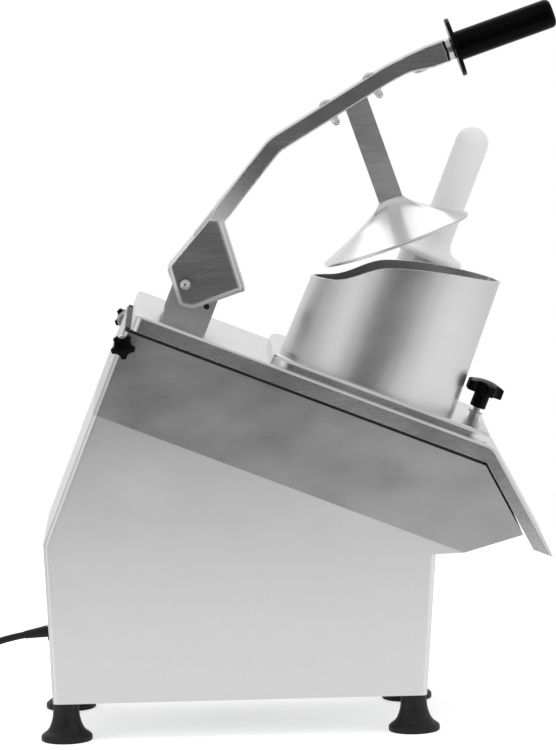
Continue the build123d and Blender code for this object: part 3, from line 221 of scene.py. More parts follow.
def finished(piece, *replaced, finish=None):
    """Give a new piece its finish, and the body and slot of the CAD nodes that it stands for."""
    slot = slot_of[replaced[0]]
    piece.data.materials.clear()
    piece.data.materials.append(finishes[finish or slot])
    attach(piece, body_of[replaced[0]])
    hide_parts(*replaced)
    return piece


def welded_copy(node):
    """Mesh of a CAD node with its triangles welded and its flat areas joined."""
    mesh = nodes[node].data.copy()
    form = bmesh.new()
    form.from_mesh(mesh)
    bmesh.ops.remove_doubles(form, verts=form.verts, dist=WELD_DISTANCE)
    bmesh.ops.dissolve_degenerate(form, edges=form.edges, dist=1e-6)
    bmesh.ops.dissolve_limit(
        form, verts=form.verts, edges=form.edges, angle_limit=math.radians(FLAT_DEGREES)
    )
    form.to_mesh(mesh)
    form.free()
    for name in ("custom_normal", "sharp_face", "sharp_edge"):
        if name in mesh.attributes:
            mesh.attributes.remove(mesh.attributes[name])
    return mesh


def settled(piece):
    """Turn a piece and its modifiers into one plain mesh."""
    bpy.context.view_layer.update()
    evaluated = piece.evaluated_get(bpy.context.evaluated_depsgraph_get())
    mesh = bpy.data.meshes.new_from_object(evaluated)
    piece.modifiers.clear()
    piece.data = mesh
    return piece


def smooth_within(mesh, degrees):
    mesh.shade_smooth()
    mesh.set_sharp_from_angle(angle=math.radians(degrees))


def soften(piece, edge, edge_angle=38.0, segments=2):
    """Bevel the sharp edges, and let the large faces keep their own flat shading."""
    bevel = piece.modifiers.new("soft_edges", "BEVEL")
    bevel.width = edge
    bevel.segments = segments
    bevel.limit_method = "ANGLE"
    bevel.angle_limit = math.radians(edge_angle)
    bevel.use_clamp_overlap = True
    settled(piece)
    smooth_within(piece.data, SMOOTH_DEGREES)
    weights = piece.modifiers.new("flat_faces", "WEIGHTED_NORMAL")
    weights.mode = "FACE_AREA"
    weights.weight = 100
    weights.keep_sharp = True
    return settled(piece)


def dressed(node, edge, finish=None):
    """A softened copy that stands for one CAD node."""
    piece = soften(new_piece(node + "_finished", welded_copy(node)), edge)
    print(node, len(piece.data.polygons), "faces")
    return finished(piece, node, finish=finish)


# %% [markdown]
# ## Materials
# Each finish is a small node tree on the piece's own Object coordinates, so the grain has its real size and
# stays where it is when a joint moves. Three tools make nearly all of it: a noise stretched into fine lines
# for brushing, a broad soft noise for the smudges and hand polish that every used steel machine shows, and a
# fine noise for the skin of castings and plastic.

# %% A small kit for node trees
def add(tree, kind, wires=None, output=0, **options):
    """Add a node with its options, fill its inputs, and give one of its outputs."""
    node = tree.nodes.new("GeometryNode" + kind if hasattr(bpy.types, "GeometryNode" + kind) else kind)
    for option, value in options.items():
        setattr(node, option, value)
    for key, value in (wires or {}).items():
        if isinstance(value, bpy.types.NodeSocket):
            tree.links.new(value, node.inputs[key])
        else:
            node.inputs[key].default_value = value
    return node.outputs[output]


def calc(tree, operation, *values):
    return add(tree, "ShaderNodeMath", dict(enumerate(values)), operation=operation)


def parts_of(tree, vector):
    """X, Y and Z of a vector."""
    return add(tree, "ShaderNodeSeparateXYZ", {0: vector}).node.outputs


def combined(tree, **parts):
    return add(tree, "ShaderNodeCombineXYZ", parts)


def mixed(tree, factor, a, b, kind="FLOAT"):
    return add(tree, "ShaderNodeMix", {"Factor": factor, "A": a, "B": b}, "Result", data_type=kind)


def between(tree, socket, low, high, start=0.3, end=0.7, **options):
    """The socket's values from start to end, spread to low and high."""
    limits = {"Value": socket, "From Min": start, "From Max": end, "To Min": low, "To Max": high}
    return add(tree, "ShaderNodeMapRange", limits, **options)


def start_material(name):
    material = bpy.data.materials.new(name)
    material.use_nodes = True
    tree = material.node_tree
    tree.nodes.clear()
    shader = tree.nodes.new("ShaderNodeBsdfPrincipled")
    tree.links.new(shader.outputs[0], tree.nodes.new("ShaderNodeOutputMaterial").inputs[0])
    return material, tree, shader


def object_noise(tree, scale, detail=3.0, stretch=(1, 1, 1), turn=(0, 0, 0), roughness=0.5):
    """Noise on Object coordinates, stretched and turned, as a socket from 0 to 1."""
    where = add(tree, "ShaderNodeTexCoord", output="Object")
    stretched = add(tree, "ShaderNodeMapping", {"Vector": where, "Rotation": turn, "Scale": stretch})
    settings = {"Vector": stretched, "Scale": scale, "Detail": detail, "Roughness": roughness}
    return add(tree, "ShaderNodeTexNoise", settings, "Fac")


def dress_shader(tree, shader, colour_by, dark, light, rough, height, strength, distance):
    """Wire a shader's colour from dark to light, its roughness and its bump."""
    colour = mixed(tree, colour_by, (*dark, 1), (*light, 1), "RGBA")
    tree.links.new(colour, shader.inputs["Base Color"])
    tree.links.new(rough, shader.inputs["Roughness"])
    bump = add(tree, "ShaderNodeBump", {"Height": height, "Strength": strength, "Distance": distance})
    tree.links.new(bump, shader.inputs["Normal"])


# %% [markdown]
# ## Steel and aluminium
# Brushed sheet scatters light across its grain, polished castings reflect like a soft mirror. Both are fully
# metallic here: the colour is the metal's reflectance, and what makes them look different is how rough
# they are, how strong the grain is and how cloudy the polish is. Two colours also carry painted light: the
# chamber's darker tone is partly painted shade, and the stem's lighter copy of the lever casting is painted
# light.

# %% Metal finishes
FRONT_FROM, FRONT_TO = 0.05, 0.24


def metal(name, colour, roughness, grain=0.3, across=(1, 1, 40), turn=(0, 0, 0), cloud=0.06, cloud_scale=14.0,
          bump=0.00002, fineness=90.0, dull_front=0.0):
    """Metal with a directional grain and a cloudy polish, duller towards the front if asked."""
    finishes[name], tree, shader = start_material(name)
    shader.inputs["Metallic"].default_value = 1.0
    lines = object_noise(tree, fineness, 4.0, across, turn, 0.6)
    clouds = object_noise(tree, cloud_scale, 3.0, (1, 1, 1.6))
    tone = calc(tree, "ADD", between(tree, lines, -grain / 2, grain / 2), between(tree, clouds, 0.2, 0.8))
    fine = between(tree, lines, roughness - 0.04, roughness + 0.04)
    rough = calc(tree, "ADD", fine, between(tree, clouds, -0.03, 0.05))
    if dull_front:
        along = parts_of(tree, add(tree, "ShaderNodeTexCoord", output="Object"))["X"]
        rough = calc(tree, "ADD", rough, between(tree, along, 0.0, dull_front, FRONT_FROM, FRONT_TO))
    dark, light = [c - cloud for c in colour], [c + cloud for c in colour]
    dress_shader(tree, shader, tone, dark, light, rough, lines, 0.35, bump)


DECK_TURN = (0.0, math.radians(DECK_DEGREES), 0.0)
LEVER_TURN = (0.0, -0.35, 0.0)
cast_skin = {"cloud": 0.05, "bump": 0.000005, "fineness": 40.0}
metal("housing_steel", (0.82, 0.82, 0.82), 0.34, 0.35, (40, 40, 1), cloud=0.05, cloud_scale=9.0)
# The chamber's darker colour is partly the casting's own tone and partly painted shade on its upright sides.
metal("chamber_casting", (0.62, 0.62, 0.625), 0.31, 0.45, (1, 1, 40), DECK_TURN, cloud=0.07, dull_front=0.16)
metal("cover_casting", (0.76, 0.76, 0.765), 0.23, 0.15, (1, 1, 20), DECK_TURN, cloud=0.05)
metal("hopper_steel", (0.74, 0.74, 0.745), 0.33, 0.3, (1, 1, 60), DECK_TURN, cloud=0.04)
metal("press_casting", (0.78, 0.78, 0.785), 0.20, 0.2, (1, 20, 20), LEVER_TURN, cloud=0.04)
metal("lever_casting", (0.66, 0.66, 0.665), 0.24, 0.2, (1, 12, 12), LEVER_TURN, **cast_skin)
# The stem's colour is the lever casting's, painted lighter: painted light on its face.
metal("stem_casting_painted_light", (0.84, 0.84, 0.845), 0.31, 0.25, (1, 12, 12), LEVER_TURN, **cast_skin)
metal("bracket_steel", (0.84, 0.84, 0.84), 0.33, 0.3, (1, 1, 40), DECK_TURN, cloud=0.05)
metal("fastener_steel", (0.62, 0.62, 0.625), 0.10, 0.1, (1, 1, 1), cloud=0.03, fineness=300.0)
metal("clamp_steel", (0.46, 0.46, 0.46), 0.30, 0.1, (1, 1, 1), cloud=0.03, fineness=300.0)
metal("plate_steel", (0.56, 0.57, 0.58), 0.36, 0.2, (20, 1, 1), cloud=0.05)
metal("shaft_steel", (0.62, 0.62, 0.63), 0.22, 0.3, (1, 1, 30), DECK_TURN, cloud=0.03)
metal("bearing_steel", (0.68, 0.68, 0.69), 0.18, 0.2, (1, 1, 30), DECK_TURN, cloud=0.02)
metal("blade_steel", (0.80, 0.80, 0.81), 0.16, 0.3, (40, 1, 1), cloud=0.02)
metal("disc_casting", (0.70, 0.71, 0.72), 0.34, 0.3, (20, 20, 1), cloud=0.05)
metal("pulley_metal", (0.60, 0.61, 0.62), 0.30, 0.3, (1, 1, 30), DECK_TURN, cloud=0.04)
print("metal finishes:", len(finishes))

# %% [markdown]
# ## Plastic, rubber and paint
# Moulded plastic has a fine skin and slightly uneven gloss. Rubber is darker, duller and picks up pale dust.
# The push stick is polyethylene: light enters it, scatters and comes out softly, which the subsurface
# sockets of the shader do with one radius.

# %% Plastics and rubber
def moulded(name, colour, roughness, skin=0.00003, scale=700.0, patch=0.02, gloss=0.5):
    """Plastic with a fine moulded skin and uneven gloss."""
    finishes[name], tree, shader = start_material(name)
    shader.inputs["Specular IOR Level"].default_value = gloss
    patches = object_noise(tree, 35.0, 3.0)
    fine = object_noise(tree, scale, 2.0)
    uneven = between(tree, patches, roughness - 0.03, roughness + 0.05)
    rough = calc(tree, "ADD", uneven, between(tree, fine, -0.03, 0.03))
    light = [c + patch for c in colour]
    dress_shader(tree, shader, between(tree, patches, 0, 1), colour, light, rough, fine, 0.4, skin)
    return shader


moulded("knob_black", (0.002, 0.002, 0.002), 0.20, patch=0.001, gloss=0.07)
moulded("grip_black", (0.001, 0.001, 0.001), 0.26, patch=0.001, gloss=0.05)
moulded("switch_black", (0.02, 0.02, 0.021), 0.25, patch=0.01)
moulded("rubber_black", (0.006, 0.006, 0.006), 0.48, 0.00008, 420.0, patch=0.008, gloss=0.35)
moulded("belt_rubber", (0.02, 0.02, 0.02), 0.6, 0.0001, 300.0, patch=0.02)
moulded("cord_black", (0.006, 0.006, 0.006), 0.36, 0.00004, 500.0, patch=0.006, gloss=0.35)
moulded("block_grey", (0.30, 0.31, 0.32), 0.4)
moulded("ejector_plastic", (0.78, 0.79, 0.78), 0.38)
moulded("button_green", (0.02, 0.30, 0.08), 0.22, patch=0.02)
moulded("button_red", (0.50, 0.02, 0.02), 0.22, patch=0.03)
moulded("motor_paint", (0.10, 0.11, 0.12), 0.42, 0.00015, 260.0, patch=0.02)
milky = moulded("stick_white", (0.96, 0.96, 0.955), 0.36, 0.00002, 500.0, 0.03)
milky.inputs["Subsurface Weight"].default_value = 0.65
milky.inputs["Subsurface Radius"].default_value = (1.0, 1.0, 0.95)
milky.inputs["Subsurface Scale"].default_value = 0.018
print("all finishes:", len(finishes))

# %% [markdown]
# ## Materials for the pieces that stay as they are
# The drive, the motor and the switch block sit inside the closed housing. Their CAD shapes are already right,
# so each only gets the finish of its slot in the record.

# %% Dress every CAD node by its slot
for name, node in nodes.items():
    if not node.data.materials:
        node.data.materials.append(None)
    for place in node.material_slots:
        place.link = "OBJECT"
        place.material = finishes[slot_of[name]]
cord_curve.materials.append(finishes["cord_black"])
print("nodes with a finish:", len(nodes))

# %% [markdown]
# ## Shapes that follow a rule
# Star knobs, domed nuts, screws and feet are the same shape again and again, or a shape that a formula says.
# Geometry Nodes suit them: one small tree holds the rule, its named inputs hold the sizes, and each use of it
# becomes a plain mesh. Modelling each lobe and nut by hand would take longer and would be less even.

# %% Helpers for Geometry Nodes
SOCKET_KINDS = {int: "Int", float: "Float"}


def rule_tree(name, inputs):
    """A Geometry Nodes tree with named inputs; gives the tree and its input sockets."""
    tree = bpy.data.node_groups.new(name, "GeometryNodeTree")
    tree.interface.new_socket("Geometry", in_out="OUTPUT", socket_type="NodeSocketGeometry")
    for label, value in inputs.items():
        kind = value if isinstance(value, str) else SOCKET_KINDS[type(value)]
        socket = tree.interface.new_socket(label, in_out="INPUT", socket_type="NodeSocket" + kind)
        if value != kind:
            socket.default_value = value
    return tree, tree.nodes.new("NodeGroupInput").outputs


def joined(tree, *parts):
    join = tree.nodes.new("GeometryNodeJoinGeometry")
    for part in parts:
        tree.links.new(part, join.inputs[0])
    return join.outputs[0]


def close_rule(tree, shape, finish):
    """Every tree ends in real geometry with its material."""
    real = add(tree, "RealizeInstances", {"Geometry": shape})
    dressed_shape = add(tree, "SetMaterial", {"Geometry": real, "Material": finish})
    tree.links.new(dressed_shape, tree.nodes.new("NodeGroupOutput").inputs[0])


def on_seats(tree, inputs, shape):
    """End a tree with its shape on every seat."""
    stood = add(tree, "InstanceOnPoints", {"Points": inputs["Seats"], "Instance": shape})
    close_rule(tree, stood, inputs["Finish"])


def by_rule(name, tree, finish, sizes, points=()):
    """Run a tree with its inputs and keep the result as a plain mesh."""
    start = bpy.data.meshes.new(name)
    start.from_pydata([tuple(point) for point in points], [], [])
    piece = new_piece(name, start)
    rule = piece.modifiers.new("rule", "NODES")
    rule.node_group = tree
    values = dict(sizes, Finish=finishes[finish])
    for item in tree.interface.items_tree:
        if item.item_type == "SOCKET" and item.in_out == "INPUT" and item.name in values:
            rule[item.identifier] = values[item.name]
    return settled(piece)


def cylinder(tree, radius, low, high, sides=48, rings=1):
    """Cylinder that stands from low to high on the Z axis."""
    depth = calc(tree, "SUBTRACT", high, low)
    sizes = {"Vertices": sides, "Side Segments": rings, "Radius": radius, "Depth": depth}
    lift = combined(tree, Z=calc(tree, "MULTIPLY_ADD", depth, 0.5, low))
    return add(tree, "Transform", {"Geometry": add(tree, "MeshCylinder", sizes), "Translation": lift})


def ellipsoid(tree, segments, rings, radius, height, lift):
    """Ball of radius 1, scaled to a radius and a height and lifted to its place."""
    ball = add(tree, "MeshUVSphere", {"Segments": segments, "Rings": rings, "Radius": 1.0})
    size = combined(tree, X=radius, Y=radius, Z=height)
    return add(tree, "Transform", {"Geometry": ball, "Translation": combined(tree, Z=lift), "Scale": size})


def reshaped(tree, shape, place, factor, height):
    """Scale a shape about the Z axis by a factor at each point, and give each point its height."""
    x, y = (calc(tree, "MULTIPLY", place[axis], factor) for axis in "XY")
    return add(tree, "SetPosition", {"Geometry": shape, "Position": combined(tree, X=x, Y=y, Z=height)})


print("Geometry Nodes helpers ready")

# %% [markdown]
# ## Star knobs
# A star knob is a disc with five scoops cut out of its rim and a domed top. For each direction the rule takes
# the nearer of the disc's edge and the scoop's edge, with a soft minimum that rounds the corners. The dome
# raises every point of the top by how near the axis it is. Distances are shares of the head's radius.

# %% The star knob's rule
SCOOP_DISTANCE, SCOOP_RADIUS, CORNER_ROUNDING = 1.24, 0.52, 0.06
star_tree, star = rule_tree("star_knob", {
    "Lobes": 5, "Head Radius": 0.020, "Head Height": 0.010, "Dome Height": 0.0045, "Grip Height": 0.0150,
    "Hub Radius": 0.0083, "Pin Radius": 0.003, "Pin Length": 0.001, "Finish": "Material",
})
star_calc = partial(calc, star_tree)
blank = add(star_tree, "MeshCylinder", {
    "Vertices": 150, "Side Segments": 1, "Fill Segments": 9, "Radius": 1.0, "Depth": 1.0,
}, "Mesh", fill_type="TRIANGLE_FAN")
place = parts_of(star_tree, add(star_tree, "InputPosition"))
around_axis = star_calc("ARCTAN2", place["Y"], place["X"])
one_lobe = star_calc("DIVIDE", 2 * math.pi, star["Lobes"])
half_lobe = star_calc("MULTIPLY", one_lobe, 0.5)
from_scoop = star_calc("SUBTRACT", star_calc("FLOORED_MODULO", around_axis, one_lobe), half_lobe)
side_of_scoop = star_calc("MULTIPLY", star_calc("SINE", from_scoop), SCOOP_DISTANCE)
inside = star_calc("SUBTRACT", SCOOP_RADIUS ** 2, star_calc("POWER", side_of_scoop, 2.0))
chord = star_calc("SQRT", star_calc("MAXIMUM", inside, 0.0))
to_scoop = star_calc("MULTIPLY", star_calc("COSINE", from_scoop), SCOOP_DISTANCE)
edge_share = star_calc("SMOOTH_MIN", star_calc("SUBTRACT", to_scoop, chord), 1.0, CORNER_ROUNDING)
squares = [star_calc("POWER", place[axis], 2.0) for axis in "XY"]
share = star_calc("MULTIPLY", edge_share, star_calc("SQRT", star_calc("ADD", *squares)))
reach = star_calc("MULTIPLY", edge_share, star["Head Radius"])
is_top = star_calc("GREATER_THAN", place["Z"], 0.0)
nearness = star_calc("SUBTRACT", 1.0, star_calc("POWER", share, 2.0))
dome = star_calc("MULTIPLY", star["Dome Height"], nearness)
top_lift = star_calc("MULTIPLY", is_top, star_calc("ADD", star["Head Height"], dome))
head = reshaped(star_tree, blank, place, reach, star_calc("ADD", star["Grip Height"], top_lift))
hub_top = star_calc("ADD", star["Grip Height"], 0.002)
pin_low = star_calc("MULTIPLY", star["Pin Length"], -1.0)
hub = cylinder(star_tree, star["Hub Radius"], 0.0, hub_top)
pin = cylinder(star_tree, star["Pin Radius"], pin_low, hub_top, 32)
close_rule(star_tree, joined(star_tree, head, hub, pin), star["Finish"])


def lobe_turn(node, stand):
    """Turn of the CAD knob's lobes about its own axis."""
    back = stand.inverted()
    tips = [back @ vert.co for vert in nodes[node].data.vertices]
    tip = max(tips, key=lambda point: point.x ** 2 + point.y ** 2)
    return math.atan2(tip.y, tip.x)


def star_knob(node, seat, direction, sizes, edge):
    piece = by_rule(node + "_finished", star_tree, "knob_black", sizes)
    stand = upright_at(seat, direction)
    piece.data.transform(stand @ Matrix.Rotation(lobe_turn(node, stand), 4, "Z"))
    soften(piece, edge, segments=4)
    return finished(piece, node)


hinge_axis = on_deck(-0.2492, 0, -0.014)
side_seat = ACROSS * 0.1185
side_sizes = {
    "Head Radius": 0.0125, "Head Height": 0.0088, "Dome Height": 0.0032, "Grip Height": 0.005,
    "Hub Radius": 0.006, "Pin Length": 0.021,
}
star_knob("clamp_knob", on_deck(CLAMP_P, 0, 0.041), OFF_DECK, {"Lobes": 5}, 0.0009)
star_knob("near_hinge_knob", hinge_axis - side_seat, -ACROSS, side_sizes, 0.0007)
star_knob("far_hinge_knob", hinge_axis + side_seat, ACROSS, side_sizes, 0.0007)

# %% [markdown]
# ## The clamp's threaded stud and its washer
# The front knob turns on an M8 stud. Below the knob a washer rides on a short bushing that stands on the
# platform. The thread is a cylinder whose radius rises and falls once per turn along a helix.

# %% Thread by rule
thread_tree, thread = rule_tree("threaded_stud", {
    "Radius": 0.004, "Length": 0.050, "Pitch": 0.00125, "Depth": 0.00035, "Rings": 300, "Finish": "Material",
})
thread_calc = partial(calc, thread_tree)
rod = cylinder(thread_tree, 1.0, 0.0, thread["Length"], 36, thread["Rings"])
place = parts_of(thread_tree, add(thread_tree, "InputPosition"))
turns = thread_calc("DIVIDE", thread_calc("ARCTAN2", place["Y"], place["X"]), 2 * math.pi)
along = thread_calc("SUBTRACT", thread_calc("DIVIDE", place["Z"], thread["Pitch"]), turns)
groove = thread_calc("MULTIPLY", thread_calc("PINGPONG", along, 0.5), 2.0)
thread_radius = thread_calc("SUBTRACT", thread["Radius"], thread_calc("MULTIPLY", groove, thread["Depth"]))
close_rule(thread_tree, reshaped(thread_tree, rod, place, thread_radius, place["Z"]), thread["Finish"])
stud = by_rule("clamp_stud_finished", thread_tree, "shaft_steel", {})
stud.data.transform(upright_at(on_deck(CLAMP_P, 0, -0.009), OFF_DECK))
smooth_within(stud.data, ROUND_DEGREES)
finished(stud, "clamp_stud")
print("stud with", len(stud.data.polygons), "faces")


# %% Bushing and washer
def lathe(name, profile, steps=64):
    """Ring of revolution about Z from a closed profile of (radius, height) points."""
    verts, faces = [], []
    for i in range(steps):
        angle = 2 * math.pi * i / steps
        verts += [(r * math.cos(angle), r * math.sin(angle), z) for r, z in profile]
    count = len(profile)
    for i in range(steps):
        for j in range(count):
            a, b = i * count, (i + 1) % steps * count
            faces.append((a + j, b + j, b + (j + 1) % count, a + (j + 1) % count))
    mesh = bpy.data.meshes.new(name)
    mesh.from_pydata(verts, [], faces)
    form = bmesh.new()
    form.from_mesh(mesh)
    bmesh.ops.recalc_face_normals(form, faces=form.faces)
    form.to_mesh(mesh)
    form.free()
    return new_piece(name, mesh)


BORE, NECK, RIM = 0.0043, 0.0054, 0.0076
NECK_TOP, WASHER_TOP = 0.0052, 0.0065
bushing = lathe("clamp_washer_finished", [
    (BORE, 0), (NECK, 0), (NECK, NECK_TOP), (RIM, NECK_TOP), (RIM, WASHER_TOP), (BORE, WASHER_TOP),
])
bushing.data.transform(upright_at(on_deck(CLAMP_P, 0, 0.030), OFF_DECK))
soften(bushing, 0.0002)
finished(bushing, "clamp_washer", finish="clamp_steel")
print("bushing and washer:", len(bushing.data.polygons), "faces")

# %% [markdown]
# ## Nuts and screws
# The stem hangs from the arm by two button head screws with domed nuts. Each kind is drawn once by a rule and
# set on the seats that the CAD model gives: the helper finds the loose parts of a node and the foot of each.

# %% Fasteners by rule
def seats(node, direction):
    """For each loose part of a node: the foot of its axis, seen along a direction."""
    form = bmesh.new()
    form.from_mesh(nodes[node].data)
    bmesh.ops.remove_doubles(form, verts=form.verts, dist=WELD_DISTANCE)
    turn = aimed(direction)
    left, found = set(form.verts), []
    while left:
        todo, part = [left.pop()], []
        while todo:
            vert = todo.pop()
            part.append(turn.inverted() @ vert.co)
            for edge in vert.link_edges:
                other = edge.other_vert(vert)
                if other in left:
                    left.remove(other)
                    todo.append(other)
        low = Vector(min(point[i] for point in part) for i in range(3))
        high = Vector(max(point[i] for point in part) for i in range(3))
        found.append(turn @ Vector(((low.x + high.x) / 2, (low.y + high.y) / 2, low.z)))
    form.free()
    return sorted(found, key=lambda point: point.x)


nut_tree, nut = rule_tree("domed_nuts", {
    "Seats": "Geometry", "Washer Radius": 0.0054, "Washer Thickness": 0.0008, "Corner Radius": 0.0046,
    "Hexagon Top": 0.0050, "Dome Radius": 0.0039, "Dome Height": 0.0043, "Finish": "Material",
})
cap = ellipsoid(nut_tree, 32, 20, nut["Dome Radius"], nut["Dome Height"], nut["Hexagon Top"])
washer = cylinder(nut_tree, nut["Washer Radius"], 0.0, nut["Washer Thickness"], 40)
hexagon = cylinder(nut_tree, nut["Corner Radius"], nut["Washer Thickness"], nut["Hexagon Top"], 6)
on_seats(nut_tree, nut, joined(nut_tree, cap, washer, hexagon))

screw_tree, screw = rule_tree("button_screws", {
    "Seats": "Geometry", "Shank Radius": 0.003, "Shank Length": 0.0232, "Head Radius": 0.0065,
    "Head Height": 0.0034, "Socket Radius": 0.0024, "Socket Depth": 0.0020, "Finish": "Material",
})
head_low = screw["Shank Length"]
head_high = calc(screw_tree, "ADD", head_low, screw["Head Height"])
ball = ellipsoid(screw_tree, 48, 28, screw["Head Radius"], screw["Head Height"], head_low)
socket_low = calc(screw_tree, "SUBTRACT", head_high, screw["Socket Depth"])
below = cylinder(screw_tree, 0.02, calc(screw_tree, "SUBTRACT", head_low, 0.02), head_low, 16)
above = calc(screw_tree, "ADD", head_high, 0.002)
key_hole = cylinder(screw_tree, screw["Socket Radius"], socket_low, above, 6)
cut_away = {"Mesh 1": ball, "Mesh 2": joined(screw_tree, below, key_hole)}
button = add(screw_tree, "MeshBoolean", cut_away, operation="DIFFERENCE")
shank = cylinder(screw_tree, screw["Shank Radius"], 0.0, head_low, 32)
on_seats(screw_tree, screw, joined(screw_tree, button, shank))


def fasteners(node, tree, sizes, direction):
    """Replace a node of equal fasteners by rule-made ones that point in a direction."""
    turn = aimed(direction).to_matrix().to_4x4()
    places = [turn.inverted() @ seat for seat in seats(node, direction)]
    piece = by_rule(node + "_finished", tree, "fastener_steel", sizes, places)
    piece.data.transform(turn)
    soften(piece, 0.0002, ROUND_DEGREES)
    print(node, len(places), "pieces")
    return finished(piece, node)


SWING_DEGREES, ARM_DEGREES = 18.3, 12.32
off_arm = tilted(SWING_DEGREES + ARM_DEGREES)[1]
fasteners("lever_nuts", nut_tree, {}, -off_arm)
fasteners("lever_bolts", screw_tree, {}, off_arm)
fasteners("bracket_screws", screw_tree, {
    "Shank Radius": 0.0025, "Shank Length": 0.003, "Head Radius": 0.0045, "Head Height": 0.0026,
    "Socket Radius": 0.0016, "Socket Depth": 0.0013,
}, OFF_DECK)

# %% [markdown]
# ## Rubber feet
# All four feet come from one mould: a straight neck that flares to a round pad. The rule shapes a cylinder's
# rings with a curve of radius over height, and stands one foot on each corner of a rectangle.

# %% Feet by rule
FOOT_OUTLINE = (
    (0.0, 0.955), (0.03, 1.0), (0.12, 1.0), (0.18, 0.925), (0.27, 0.755),
    (0.385, 0.645), (0.54, 0.562), (0.70, 0.519), (1.0, 0.519),
)
FEET = ("foot_near_rear", "foot_far_rear", "foot_near_front", "foot_far_front")
feet_tree, foot = rule_tree("rubber_feet", {
    "Seats": "Geometry", "Height": 0.039, "Pad Radius": 0.026, "Finish": "Material",
})
column = cylinder(feet_tree, foot["Pad Radius"], 0.0, foot["Height"], 72, 60)
place = parts_of(feet_tree, add(feet_tree, "InputPosition"))
height_share = calc(feet_tree, "DIVIDE", place["Z"], foot["Height"])
flare_share = add(feet_tree, "ShaderNodeFloatCurve", {"Value": height_share})
mapping = flare_share.node.mapping
ends = mapping.curves[0].points
ends[0].location, ends[1].location = FOOT_OUTLINE[0], FOOT_OUTLINE[-1]
for spot in FOOT_OUTLINE[1:-1]:
    mapping.curves[0].points.new(*spot)
mapping.update()
on_seats(feet_tree, foot, reshaped(feet_tree, column, place, flare_share, place["Z"]))
feet = by_rule("rubber_feet", feet_tree, "rubber_black", {}, [seats(node, (0, 0, 1))[0] for node in FEET])
smooth_within(feet.data, ROUND_DEGREES)
finished(feet, *FEET)
print("feet:", len(feet.data.polygons), "faces")

# %% [markdown]
# ## The press plate
# The plate is a casting with a thin D-shaped rim that is drawn up in a hollow curve to the stem. Its form is a
# rule too: every ring lies between the rim's outline and the stem's outline, and the rings crowd together
# towards the stem so that the surface meets it almost upright. The lever's swing is applied to the mesh.

# %% Press plate
PIVOT = on_deck(-0.2096, 0, 0.0571)
PLATE_SWING = math.radians(40.5)
STEM = (0.0157, -0.0065)
STEM_HALF_LENGTH, STEM_HALF_WIDTH, STEM_CORNER = 0.0125, 0.0055, 0.0015
RIM_CENTRE, RIM_RADIUS, RIM_HALF_LENGTH, RIM_FLAT_SIDE, RIM_CORNER = 0.0072, 0.082, 0.0778, -0.001, 0.006
RIM_DROP, RIM_THICKNESS, NECK_HEIGHT = 0.0032, 0.0033, 0.0357
RIM_PROFILE = [
    (0.0012, 0.0), (0.0003, 0.0005), (0.0, 0.0014), (0.0002, 0.0023), (0.0010, 0.0030), (0.0020, RIM_THICKNESS),
]
CLIMB_RINGS, CLIMB_POWER = 30, 1.35
NEARLY_ZERO = 1e-6


def soft_min(values, width):
    """Smallest of some values, rounded where two of them cross."""
    lowest = values[0]
    for value in values[1:]:
        mix = max(width - abs(lowest - value), 0.0) / width
        lowest = min(lowest, value) - mix * mix * width / 4
    return lowest


def rim_reach(angle):
    """Distance from the stem's centre to the D-shaped rim in one direction."""
    x, y = math.cos(angle), math.sin(angle)
    dx, dy = STEM[0] - RIM_CENTRE, STEM[1]
    along = dx * x + dy * y
    round_side = -along + math.sqrt(along ** 2 - (dx ** 2 + dy ** 2 - RIM_RADIUS ** 2))
    flat_side = (RIM_FLAT_SIDE - STEM[1]) / y if y > NEARLY_ZERO else 1.0
    end = (RIM_CENTRE + math.copysign(RIM_HALF_LENGTH, x) - STEM[0]) / x if abs(x) > NEARLY_ZERO else 1.0
    return soft_min([round_side, flat_side, end], RIM_CORNER)


def stem_reach(angle):
    """Distance from the stem's centre to its rounded rectangular outline."""
    x, y = max(abs(math.cos(angle)), NEARLY_ZERO), max(abs(math.sin(angle)), NEARLY_ZERO)
    return soft_min([STEM_HALF_LENGTH / x, STEM_HALF_WIDTH / y], STEM_CORNER)


def press_plate_mesh():
    outline = sorted(math.radians(a) for a in [*range(0, 360, 2), 1, 3, 5, 175, 177, 179, 181, 359])
    layers = []
    for inset, z in RIM_PROFILE:
        reaches = [max(rim_reach(a) - inset, min(rim_reach(a), stem_reach(a))) for a in outline]
        layers.append((reaches, z - RIM_DROP))
    for i in range(1, CLIMB_RINGS + 1):
        climb = i / CLIMB_RINGS
        share = (1 - climb) ** CLIMB_POWER
        reaches = []
        for a in outline:
            far, near = max(rim_reach(a) - RIM_PROFILE[-1][0], 0.0), min(stem_reach(a), rim_reach(a))
            reaches.append(near + (max(far, near) - near) * share)
        layers.append((reaches, RIM_THICKNESS - RIM_DROP + (NECK_HEIGHT + RIM_DROP) * climb))
    verts = [(r * math.cos(a), r * math.sin(a), z) for reaches, z in layers for a, r in zip(outline, reaches)]
    count, last = len(outline), len(layers) - 1
    faces = [tuple(range(count - 1, -1, -1)), tuple(last * count + i for i in range(count))]
    for k in range(last):
        for i in range(count):
            j = (i + 1) % count
            faces.append((k * count + i, k * count + j, (k + 1) * count + j, (k + 1) * count + i))
    mesh = bpy.data.meshes.new("press_plate_finished")
    mesh.from_pydata(verts, [], faces)
    return mesh


plate = new_piece("press_plate_finished", press_plate_mesh())
deck_frame = Matrix((DOWN_DECK, ACROSS, OFF_DECK)).transposed().to_4x4()
swing = Matrix.Translation(PIVOT) @ Matrix.Rotation(PLATE_SWING, 4, -ACROSS) @ Matrix.Translation(-PIVOT)
plate.data.transform(swing @ Matrix.Translation(on_deck(*STEM, 0.0271)) @ deck_frame)
smooth_within(plate.data, 40)
finished(plate, "press_plate", finish="press_casting")
print("press plate", len(plate.data.polygons), "faces")

# %% [markdown]
# ## Housing, chamber and cover
# The lower housing is folded and welded sheet, the chamber above it a casting that is ground and brushed, and
# the cover a casting polished until it mirrors what stands on it. All three keep their CAD form and get the
# narrow radii of the real edges.

